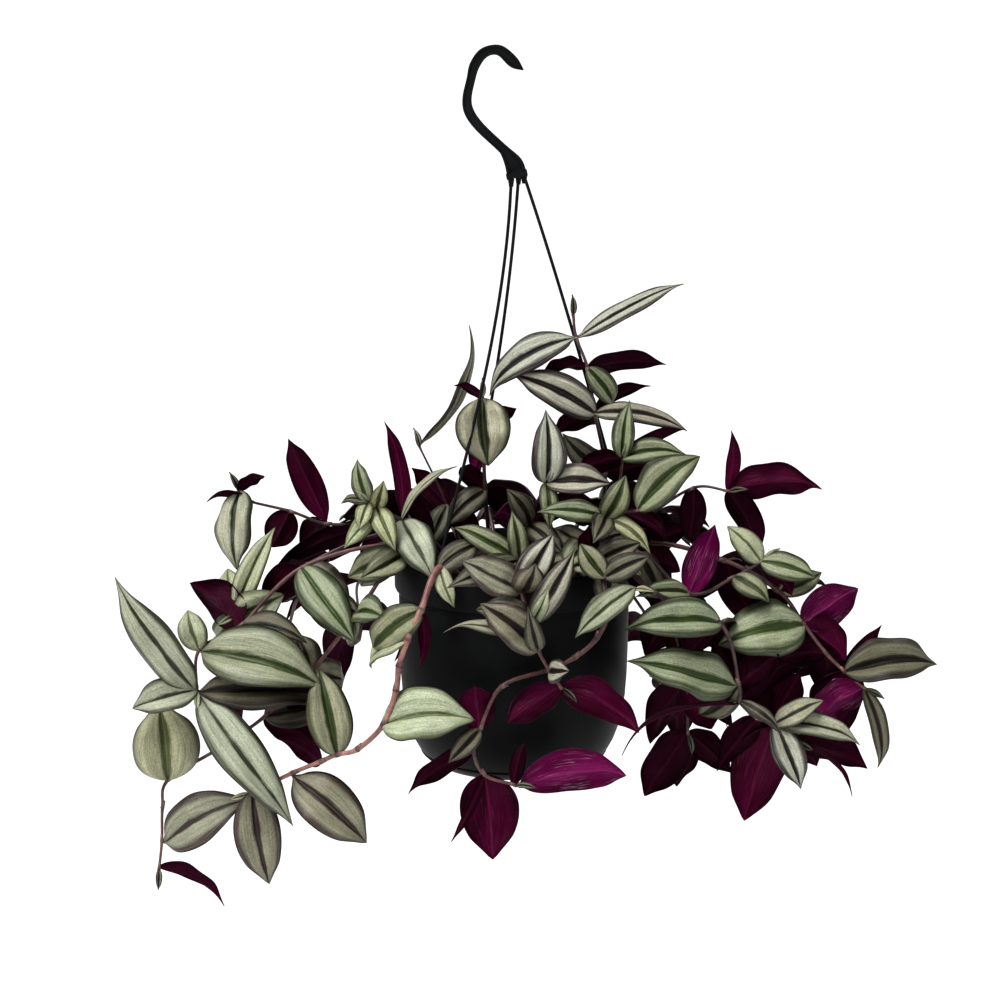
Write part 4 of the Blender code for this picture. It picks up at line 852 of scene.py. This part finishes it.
vines["stem_right_front"] = (0.16, [
    (4.9, -2.4, -1.0), (7.6, -4.0, 1.0), (10.6, -5.6, -1.2), (13.4, -5.0, -0.3), (15.2, -4.4, 0.6),
], [
    (2, (12.1, -6.4, 3.4), 2.0, (0.2, 0.9, 0), "magenta"),
    (2, (7.6, -7.4, -0.6), 1.6, (0, -0.8, 0.6), "green"),
    (3, (15.4, -6.4, -1.4), 1.8, (0, -0.7, 0.7), "green"),
    (4, (13.0, -4.2, 2.7), 1.7, (0.1, -0.9, 0.3), "pale"),
    (4, (17.0, -5.2, -1.3), 1.7, (0, 0.8, 0.5), "wine"),
    (4, (18.2, -3.8, -0.7), 1.9, (0.1, -0.8, 0.6), "green"),
    (1, (10.0, -4.4, -0.4), 1.8, (0.1, 1, 0.3), "plum"),
    (1, (9.0, -5.0, -1.6), 1.8, (0, -0.9, 0.4), "olive"),
])
vines["stem_far_right"] = (0.17, [
    (5.6, -1.2, -1.0), (8.2, -1.8, 1.1), (13.0, -2.8, 0.2), (16.2, -4.2, -1.4), (17.7, -5.0, -3.3),
    (19.1, -5.0, -5.1), (20.3, -5.0, -6.3), (21.6, -5.0, -7.4),
], [
    (4, (12.7, -7.0, -4.6), 3.8, (-0.1, -0.9, 0.5), "green"),
    (4, (20.9, -5.0, -0.9), 2.9, (0.2, 0.9, 0.3), "magenta"),
    (5, (19.4, -4.0, -8.4), 2.4, (0.1, 0.9, 0.2), "plum"),
    (6, (26.2, -4.0, -6.0), 2.8, (0, -0.8, 0.6), "olive"),
    (7, (18.2, -6.4, -9.4), 2.8, (-0.3, 0.8, 0.2), "magenta"),
    (7, (22.7, -5.0, -12.6), 1.2, (0.3, -1, 0.1), "olive"),
    (6, (22.6, -4.0, -3.6), 1.1, (0.3, 0.9, 0), "plum"),
    (3, (19.6, -1.6, -1.6), 2.0, (0.3, 0.6, 0.7), "plum"),
    (2, (14.4, -0.4, -2.6), 2.4, (0.3, 0.9, 0.3), "plum"),
    (2, (10.8, -1.0, -3.0), 2.5, (0.2, 1, 0.2), "plum"),
    (2, (15.6, -1.8, -3.8), 2.4, (-0.2, 1, 0.2), "plum"),
    (3, (14.4, -3.0, -4.9), 2.5, (0.2, 1, 0.1), "plum"),
    (3, (17.6, -3.8, 1.2), 1.5, (0.2, -1, 0.1), "green"),
    (4, (20.6, -3.4, -4.6), 2.6, (0, 1, 0.4), "wine"),
    (4, (16.2, -3.2, -7.6), 2.6, (0.2, 1, 0.1), "plum"),
    (6, (20.2, -5.8, -10.6), 3.4, (-0.1, 1, 0.1), "wine"),
    (1, (10.6, -1.0, 2.8), 2.0, (0, 1, 0.2), "plum"),
    (1, (7.8, -2.8, 4.0), 1.8, (0, 1, 0.2), "plum"),
    (5, (16.6, -3.4, -4.8), 2.2, (0, 1, 0.3), "plum"),
    (4, (16.0, -3.0, -7.4), 2.4, (0.1, 1, 0.2), "plum"),
    (5, (17.8, -3.6, -7.8), 2.2, (0.1, 1, 0.2), "wine"),
])
vines["stem_low_right"] = (0.16, [
    (3.7, -3.9, -1.0), (5.6, -5.9, 1.1), (8.5, -7.2, -0.8), (12.4, -7.4, -2.6), (13.6, -7.0, -6.5),
    (13.7, -7.0, -7.6), (14.8, -6.5, -8.8), (16.0, -6.0, -9.3), (17.3, -5.5, -10.6),
], [
    (3, (6.6, -8.7, -2.5), 2.7, (0, -0.8, 0.6), "green"),
    (4, (6.8, -9.0, -4.4), 3.2, (0, -0.8, 0.6), "green"),
    (5, (6.2, -9.2, -9.6), 1.1, (0.3, 0.4, 0.9), "plum"),
    (5, (16.2, -8.2, -9.2), 1.0, (0, -0.5, 0.9), "plum"),
    (7, (17.6, -7.0, -13.2), 2.0, (0.2, -1, 0.1), "brown"),
    (7, (21.3, -6.2, -9.7), 1.7, (0, -0.7, 0.7), "silver"),
    (7, (14.2, -5.6, -15.6), 3.6, (0, 1, 0.2), "wine"),
    (7, (18.8, -6.6, -7.6), 1.7, (0, -0.7, 0.7), "silver"),
    (8, (21.9, -4.6, -12.4), 2.6, (0, 0.8, 0.5), "plum"),
    (8, (21.1, -5.6, -13.8), 0.9, (0, 0.4, 0.9), "olive"),
    (6, (12.4, -6.0, -12.2), 2.0, (0, 1, 0.2), "plum"),
    (6, (15.8, -5.6, -13.4), 2.8, (0, 1, 0.1), "plum"),
    (8, (18.8, -4.6, -14.2), 2.8, (0, 1, 0.1), "plum"),
    (8, (21.0, -3.6, -11.6), 2.4, (0, 1, 0.4), "plum"),
    (4, (11.0, -7.4, -9.4), 2.0, (0.1, -1, 0.1), "olive"),
    (1, (7.6, -7.4, 0.4), 1.6, (0, -0.9, 0.5), "green"),
    (1, (5.0, -8.8, -1.2), 2.0, (0, -0.9, 0.4), "dusk"),
    (5, (16.6, -5.2, -5.6), 2.5, (0, 1, 0.2), "plum"),
    (7, (17.6, -4.2, -6.6), 2.4, (0.1, 1, 0.2), "wine"),
    (3, (13.0, -4.6, -6.1), 2.3, (0.1, 1, 0.2), "plum"),
    (3, (11.0, -4.0, -5.6), 2.2, (0, 1, 0.2), "plum"),
    (4, (12.2, -5.0, -4.3), 2.2, (0, 1, 0.1), "plum"),
    (4, (15.3, -5.0, -4.9), 2.2, (0, 1, 0.1), "plum"),
    (6, (16.2, -4.2, -6.6), 2.0, (0, 1, 0.1), "plum"),
])
vines["stem_inner_right"] = (0.15, [
    (5.2, -2.0, -1.0), (7.4, -2.9, 1.0), (9.5, -4.0, -3.0), (10.6, -4.0, -7.0), (10.8, -4.0, -10.6),
], [
    (4, (8.0, -5.2, -14.2), 2.8, (0, 1, 0.2), "plum"),
    (4, (13.5, -4.0, -13.0), 2.1, (0, 1, 0.2), "plum"),
    (3, (8.2, -5.0, -10.8), 2.4, (-0.2, 1, 0.2), "plum"),
    (2, (11.6, -5.2, -7.2), 2.2, (0, 1, 0.2), "plum"),
    (3, (13.6, -3.0, -10.2), 2.4, (0.1, 1, 0.2), "plum"),
    (2, (13.9, -3.0, -5.6), 2.4, (0.1, 0.9, 0.4), "plum"),
    (1, (9.8, -1.2, -1.6), 2.0, (0, 1, 0.3), "plum"),
    (1, (6.6, -5.6, -1.0), 1.8, (0, 1, 0.4), "plum"),
    (2, (8.2, -2.6, -5.9), 2.5, (0.2, 1, 0.1), "plum"),
    (2, (12.2, -2.4, -4.6), 2.5, (0, 1, 0.2), "plum"),
    (3, (8.8, -1.8, -9.6), 2.6, (0.1, 1, 0), "plum"),
    (3, (11.0, -5.8, -10.4), 2.5, (0.1, 1, 0.1), "wine"),
    (4, (10.4, -4.4, -14.6), 2.6, (-0.1, 1, 0.1), "plum"),
    (1, (4.8, -2.8, 2.9), 1.8, (0, 1, 0.2), "plum"),
    (3, (13.8, -2.6, -7.6), 2.5, (0, 1, 0.2), "plum"),
    (2, (8.0, -1.8, -2.0), 1.8, (0, 1, 0.3), "plum"),
])
vines["stem_front_centre"] = (0.17, [
    (0.4, -4.6, -1.0), (0.3, -6.6, 1.1), (0.4, -8.6, -0.3), (1.0, -9.4, -2.0), (1.4, -9.7, -3.6),
    (2.1, -9.8, -4.9), (2.8, -9.6, -6.0),
], [
    (2, (2.3, -8.2, 3.1), 2.1, (0, -1, 0.1), "brown"),
    (2, (-3.1, -8.7, 1.6), 2.4, (0, -0.8, 0.5), "dusk"),
    (3, (3.6, -9.0, 2.4), 1.8, (0, -1, 0), "brown"),
    (1, (-4.0, -8.6, 0.0), 2.0, (0, -0.9, 0.5), "olive"),
    (4, (-2.0, -10.4, -0.6), 2.4, (0, -0.9, 0.4), "dusk"),
    (4, (-4.4, -10.2, -2.2), 1.5, (0, -0.3, 1), "silver"),
    (4, (0.6, -10.9, 0.0), 1.2, (0, -1, 0.2), "olive"),
    (5, (3.2, -10.8, -4.6), 1.6, (0.1, -0.9, 0.4), "brown"),
    (6, (7.5, -10.2, -8.4), 2.9, (0, 0.9, 0.4), "wine"),
    (6, (-0.5, -10.4, -7.9), 2.1, (0, 1, 0.2), "wine"),
    (1, (-4.2, -6.4, 2.4), 1.5, (0, -0.8, 0.6), "green"),
    (1, (-0.6, -6.3, 4.0), 1.3, (0, -1, 0), "green"),
    (3, (-1.4, -10.4, 0.2), 1.9, (0, -0.9, 0.4), "olive"),
    (3, (2.0, -10.6, 0.4), 1.0, (0.2, -1, 0.1), "pale"),
    (2, (-0.8, -9.8, 1.7), 2.0, (0, -0.9, 0.4), "dusk"),
])
vines["stem_front_right"] = (0.15, [
    (2.4, -4.4, -1.0), (3.6, -6.8, 1.0), (5.4, -8.0, 0.4), (7.2, -8.8, -0.1),
], [
    (3, (3.5, -9.7, -2.8), 1.8, (0, -0.8, 0.6), "sage"),
    (1, (5.2, -7.7, 1.6), 1.8, (0, -0.8, 0.5), "silver"),
    (2, (8.0, -8.4, 1.8), 1.6, (0, -0.9, 0.3), "olive"),
    (1, (1.6, -5.8, 2.0), 1.7, (0, -0.9, 0.5), "olive"),
    (2, (4.2, -7.6, 2.6), 1.6, (0, -1, 0.2), "sage"),
])
vines["stem_hanging_front"] = (0.18, [
    (3.2, -3.8, -1.0), (4.9, -6.6, 1.0), (5.5, -8.4, -1.6), (4.9, -8.5, -3.2), (3.6, -8.5, -4.4),
    (1.9, -8.5, -5.2), (-0.8, -8.6, -6.2), (-2.1, -8.9, -8.8), (-2.5, -9.0, -10.0), (-1.8, -9.0, -11.6),
    (0.1, -9.2, -12.2),
], [
    (7, (-2.4, -9.6, -5.8), 2.3, (-0.2, 1, 0), "wine"),
    (8, (-6.5, -9.6, -12.4), 1.5, (0, 0.9, 0.4), "brown"),
    (10, (6.7, -10.0, -11.0), 3.3, (0, 0.9, 0.4), "magenta"),
    (10, (0.6, -9.6, -9.3), 1.0, (0.2, 1, 0), "plum"),
    (9, (-1.3, -9.6, -16.7), 3.6, (0, 1, 0.1), "wine"),
    (9, (-3.8, -9.8, -15.6), 0.6, (0.2, 1, 0), "plum"),
    (1, (7.4, -6.0, 2.4), 1.8, (0, -0.9, 0.4), "olive"),
    (1, (3.4, -5.2, 2.9), 1.7, (0, 1, 0.3), "plum"),
    (7, (-4.0, -9.8, -10.6), 1.3, (0, -0.8, 0.5), "olive"),
])

# Stems behind the pot: heading round it, reach from the axis and lowest point.
trailingVines = {
    "stem_back_1": (112, 17.0, -5.0), "stem_back_2": (140, 15.0, -11.0), "stem_back_3": (166, 16.0, -6.0),
    "stem_back_4": (193, 14.0, -12.0), "stem_back_5": (219, 17.0, -7.0), "stem_back_6": (247, 18.0, -10.0),
}
trailingLooks = ("green", "plum", "silver", "plum", "brown", "plum")
trailingForm = {
    "radius": 0.16, "start": (4.8, -1.0), "overRim": (7.4, 1.3), "nodes": 5, "swing": 0.8, "swingTurn": 2.1,
    "leafOut": 2.4, "leafSide": 4.6, "leafRise": 1.4, "leafDroop": 0.75, "leafWidth": 2.7,
    "endOut": 2.5, "endDrop": 5.6, "endWidth": 3.0,
}
ownLeaves = 27  # the longest leaves have nodes of their own


def backVine(azimuth, reach, low):
    form = trailingForm
    angle = math.radians(azimuth)
    out = Vector((math.sin(angle), -math.cos(angle), 0))
    side = Vector((math.cos(angle), math.sin(angle), 0))
    up = Vector((0, 0, 1))
    far, high = form["overRim"]
    route = [out * form["start"][0] + up * form["start"][1], out * far + up * high]
    for step in range(1, form["nodes"] + 1):
        share = step / form["nodes"]
        swing = form["swing"] * math.sin(step * form["swingTurn"] + azimuth)
        route.append(out * (far + (reach - far) * share**0.7) + side * swing
                     + up * (high + (low - high) * share**1.5))
    leaves = []
    for index, node in enumerate(route[1:], 1):
        turn = 1 if index % 2 else -1
        rise = form["leafRise"] - index * form["leafDroop"]
        tip = node + out * form["leafOut"] + side * turn * form["leafSide"] + up * rise
        leaves.append((index, tip, form["leafWidth"], out + up * 0.9, trailingLooks[index % 6]))
    tip = route[-1] + out * form["endOut"] - up * form["endDrop"]
    leaves.append((len(route) - 1, tip, form["endWidth"], out, trailingLooks[azimuth % 6]))
    return (form["radius"], route, leaves)


def allVines():
    found = {name: (radius, [Vector(point) for point in route], leaves)
             for name, (radius, route, leaves) in vines.items()}
    for name, heading in trailingVines.items():
        found[name] = backVine(*heading)
    return found


# The frame holds each leaf where it found room, at one of these turns about its face and its side.
turns = sorted(
    ((swing, tilt) for swing in range(-48, 49, 8) for tilt in range(-48, 49, 8)),
    key=lambda turn: (turn[0]**2 + turn[1]**2, turn),
)


def cadPoints(nodes):
    points = [(vert.co.copy(), name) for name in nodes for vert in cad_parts[name].data.vertices]
    tree = KDTree(len(points))
    for index, (point, _) in enumerate(points):
        tree.insert(point, index)
    tree.balance()
    return tree, points


def leafStart(route, node, tip, radius, own):
    here = route[node]
    along = (tip - here).normalized()
    if not own:
        back = (route[node - 1] - here).normalized() if node == len(route) - 1 else Vector()
        return here + (back - along * 0.3) * radius * cm
    if node < len(route) - 1:
        stemWay = (route[node + 1] - route[node - 1]).normalized()
        along = (along - stemWay * along.dot(stemWay)).normalized()
    return here + along * (radius + 0.16) * cm


def settled(base, tip, width, face, tree, points):
    for scale in (1.0, 0.85, 0.7):
        along = (tip - base) * scale
        side = along.cross(face).normalized()
        for swing, tilt in turns:
            turn = Matrix.Rotation(math.radians(tilt), 3, side)
            turn = turn @ Matrix.Rotation(math.radians(swing), 3, face)
            _, index, miss = tree.find(base + turn @ along)
            if miss < 0.0001:
                return base + turn @ along, turn @ face, width * scale, points[index][1]
    return None


# A pair is a range that each leaf draws its own value from.
leafForm = {
    "lengthCuts": 30, "widthCuts": 24, "thickness": 0.0005, "neck": 0.05, "arch": 0.10,
    "sickle": (-0.035, 0.035), "twist": (-0.3, 0.3), "curl": (0.02, 0.11), "waves": (1.2, 2.4),
    "ripple": (0.03, 0.085), "cup": (0.26, 0.62), "roll": (0.1, 0.45), "dent": (0.08, 0.20),
    "veins": 3, "veinDepth": 0.00014, "groove": 0.0007, "grooveWidth": 0.07,
    "pinchFrom": 0.74, "pinch": 0.48,
}


def bladeWidth(share, blunt):
    rise, fall = 0.55, 0.85 - 0.33 * blunt
    widest = rise / (rise + fall)
    full = widest**rise * (1 - widest)**fall
    start = leafForm["pinchFrom"]
    pinch = min(1.0, max(0.0, (share - start) / (1 - start)))
    slimmer = leafForm["pinch"] * (1 - blunt) * pinch * pinch * (3 - 2 * pinch)  # the tip draws out
    return share**rise * (1 - share)**fall / full * (1 - slimmer)


def addBlade(shape, root, base, tip, width, face, seed, slotIndex, fold=None):
    rng = random.Random(seed)
    phase, tint = rng.random(), rng.random()
    sickle, twist, curl, waves, ripple = (
        rng.uniform(*leafForm[name]) for name in ("sickle", "twist", "curl", "waves", "ripple"))
    cup = fold or rng.uniform(*leafForm["cup"])
    roll, dent = rng.uniform(*leafForm["roll"]), rng.uniform(*leafForm["dent"])
    along = (tip - base).normalized()
    length = (tip - base).length
    blunt = min(0.35, max(0.0, (width / length - 0.47) / 0.12))
    up = (face - along * face.dot(along)).normalized()
    side = up.cross(along)
    if "UVMap" not in shape.loops.layers.uv:
        shape.loops.layers.uv.new("UVMap")
    tintLayer = shape.verts.layers.float.get("tint") or shape.verts.layers.float.new("tint")
    verts = bmesh.ops.create_grid(shape, x_segments=leafForm["lengthCuts"],
                                  y_segments=leafForm["widthCuts"], size=1, calc_uvs=True)["verts"]
    neck = leafForm["neck"]
    for vert in verts:
        run, across = (vert.co.x + 1) / 2, vert.co.y
        share = max(0.0, (run - neck) / (1 - neck))
        apart = abs(across)
        reach = bladeWidth(share, blunt) * width / 2 if run < 0.999 else 0.0
        if run < 0.3:
            reach = max(reach, min(width * 0.09, 0.0016))
        fromBase = min(1, 4 * share)
        rise = leafForm["arch"] * length * 4 * share * (1 - share)
        rise += reach * (cup * (1.9 * apart - 0.9 * apart**2) - roll * apart**3)
        wave = math.sin(math.tau * (waves * share + phase + 0.25 * (across > 0)))
        rise += ripple * width * wave * apart**2 * fromBase * min(1, 6 * (1 - share))
        rise += dent * reach * noise.noise(Vector((share * 3.2, across * 1.6, seed * 1.7))) * fromBase
        groove = leafForm["groove"] * math.exp(-(across / leafForm["grooveWidth"])**2)
        veins = leafForm["veinDepth"] * math.cos(math.tau * leafForm["veins"] * apart)
        rise -= min(1, reach / 0.008) * (groove + veins)
        rise -= curl * length * max(0.0, (share - 0.7) / 0.3)**2
        turn = twist * share
        outward = (side * math.cos(turn) + up * math.sin(turn)) * across * reach
        middle = base + along * length * share + side * sickle * length * math.sin(math.pi * share)
        if run <= neck:
            middle = root.lerp(base, run / neck)
        vert.co = middle + outward + up * rise
        vert[tintLayer] = tint
    for patch in {patch for vert in verts for patch in vert.link_faces}:
        patch.material_index = slotIndex
    bmesh.ops.remove_doubles(shape, verts=[vert for vert in verts if vert.is_boundary], dist=weld / 2)


def finishedLeaves(name, shape, looks, *nodes):
    materials = []
    for look in looks:
        materials += [skins[look + "Face"], skins[leafLooks[look]["back"] + "Back"]]
    piece = finished(name, shape, materials, "leaf_skin", *nodes, recalculate=False)
    wall = piece.modifiers.new("leafThickness", "SOLIDIFY")
    wall.thickness = leafForm["thickness"]
    wall.offset = -1
    wall.material_offset = 1
    wall.material_offset_rim = 1
    wall.use_quality_normals = True


stemForm = {
    "girth": 0.95, "taper": 0.42, "steps": 10, "swelling": 0.18, "swellingLength": 0.28,
    "rooted": 1.2, "sheath": 0.5, "sheathSides": 16, "sheathFoot": 1.02, "sheathTop": 1.24,
    "tints": {"stem_front_left": "pink", "stem_left_long": "russet", "stem_low_left": "russet",
              "stem_far_right": "russet", "stem_hanging_front": "russet", "stem_front_centre": "russet"},
}


def addStem(name, radius, route):
    nodes = [place(*point) for point in route]
    points = through(nodes, stemForm["steps"])
    if route[0].z < -0.5:
        points.insert(0, points[0] - Vector((0, 0, stemForm["rooted"] * cm)))
    radius *= stemForm["girth"]
    radii = []
    for index, point in enumerate(points):
        near = min((point - node).length for node in nodes[1:]) / cm
        taper = 1.0 - stemForm["taper"] * index / len(points)
        swelling = 1 + stemForm["swelling"] * math.exp(-(near / stemForm["swellingLength"])**2)
        radii.append(radius * cm * taper * swelling)
    shape = bmesh.new()
    tube(shape, points, radii)
    for index, (before, node) in enumerate(zip(nodes, nodes[1:]), 1):
        way = (node - before).normalized()
        thick = radius * (1.0 - stemForm["taper"] * index * stemForm["steps"] / len(points))
        tall = min(stemForm["sheath"] * cm, (node - before).length * 0.4)
        sleeve = bmesh.ops.create_cone(
            shape, cap_ends=True, segments=stemForm["sheathSides"], depth=tall,
            radius1=thick * stemForm["sheathFoot"] * cm,
            radius2=(thick * stemForm["sheathTop"] + 0.015) * cm)["verts"]
        turn = way.to_track_quat("Z", "Y").to_matrix()
        for vert in sleeve:
            vert.co = node - way * tall * 0.4 + turn @ vert.co
        for face in {face for vert in sleeve for face in vert.link_faces}:
            face.material_index = 1
    materials = [skins[stemForm["tints"].get(name, "dark") + "Stem"], skins["sheathStem"]]
    finished(name.replace("stem_", "stemSkin_"), shape, materials, "stem_skin", name, recalculate=False)


# Colouring of the rolled young leaf at each stem's end, where it isn't pale.
budLooks = {
    "stem_climbing": "plum", "stem_front_centre": "wine", "stem_hanging_front": "wine",
    "stem_upper_right": "wine", "stem_far_right": "olive", "stem_low_right": "olive",
    "stem_inner_right": "plum", "stem_upper_left": "plum", "stem_tall_left": "brown",
    "stem_crown_front": "brown", "stem_low_left": "wine", "stem_crown_left": "silver",
}
budForm = {"length": 0.013, "width": 0.0042, "lean": (0.1, -0.2, 0.25), "face": (0.2, -1, 0.5), "fold": 0.9}


def addBud(shape, name, route, slotIndex):
    end = place(*route[-1])
    way = (end - place(*route[-2])).normalized()
    tip = end + (way + Vector(budForm["lean"])).normalized() * budForm["length"]
    addBlade(shape, end, end, tip, budForm["width"], Vector(budForm["face"]), len(route), slotIndex,
             budForm["fold"])


def addPlant():
    grown = allVines()
    rows = []
    for name, (radius, route, leaves) in grown.items():
        for node, tip, width, face, look in leaves:
            rows.append((name, node, Vector(tip), width, Vector(face).normalized(), look))
    lengths = sorted(((row[2] - grown[row[0]][1][row[1]]).length for row in rows), reverse=True)
    ownTree = cadPoints([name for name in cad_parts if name.startswith("leaf_")])
    joined = {name: [] for name in grown}
    for seed, (name, node, tip, width, face, look) in enumerate(rows):
        radius, route, _ = grown[name]
        own = (tip - route[node]).length >= lengths[ownLeaves - 1]
        points = [place(*point) for point in route]
        base = leafStart(points, node, place(*tip), radius, own)
        room = settled(base, place(*tip), width * cm, face, *(ownTree if own else cadPoints([name])))
        if room is None:
            print("the frame holds no leaf of", name, "at node", node)
            continue
        newTip, newFace, newWidth, cadNode = room
        blade = (points[node], base, newTip, newWidth, newFace, seed)
        if own:
            shape = bmesh.new()
            addBlade(shape, *blade, 0)
            finishedLeaves(cadNode.replace("leaf_", "leafBlade_"), shape, [look], cadNode)
        else:
            joined[name].append((blade, look))
    print("long leaves made")
    for name, (radius, route, _) in grown.items():
        addStem(name, radius, route)
        budLook = budLooks.get(name, "pale")
        looks = sorted({look for _, look in joined[name]} | {budLook})
        shape = bmesh.new()
        for blade, look in joined[name]:
            addBlade(shape, *blade, 2 * looks.index(look))
        addBud(shape, name, route, 2 * looks.index(budLook))
        finishedLeaves(name.replace("stem_", "leaves_"), shape, looks)
    print("stems and small leaves made")


makeSkins()
addCamera()
addStage()
print("camera, lights and floor ready")
addPot()
addSoil()
addHook()
for node, strand in strandLook["strands"].items():
    addStrand(node, *strand)
print("strands made")
addPlant()
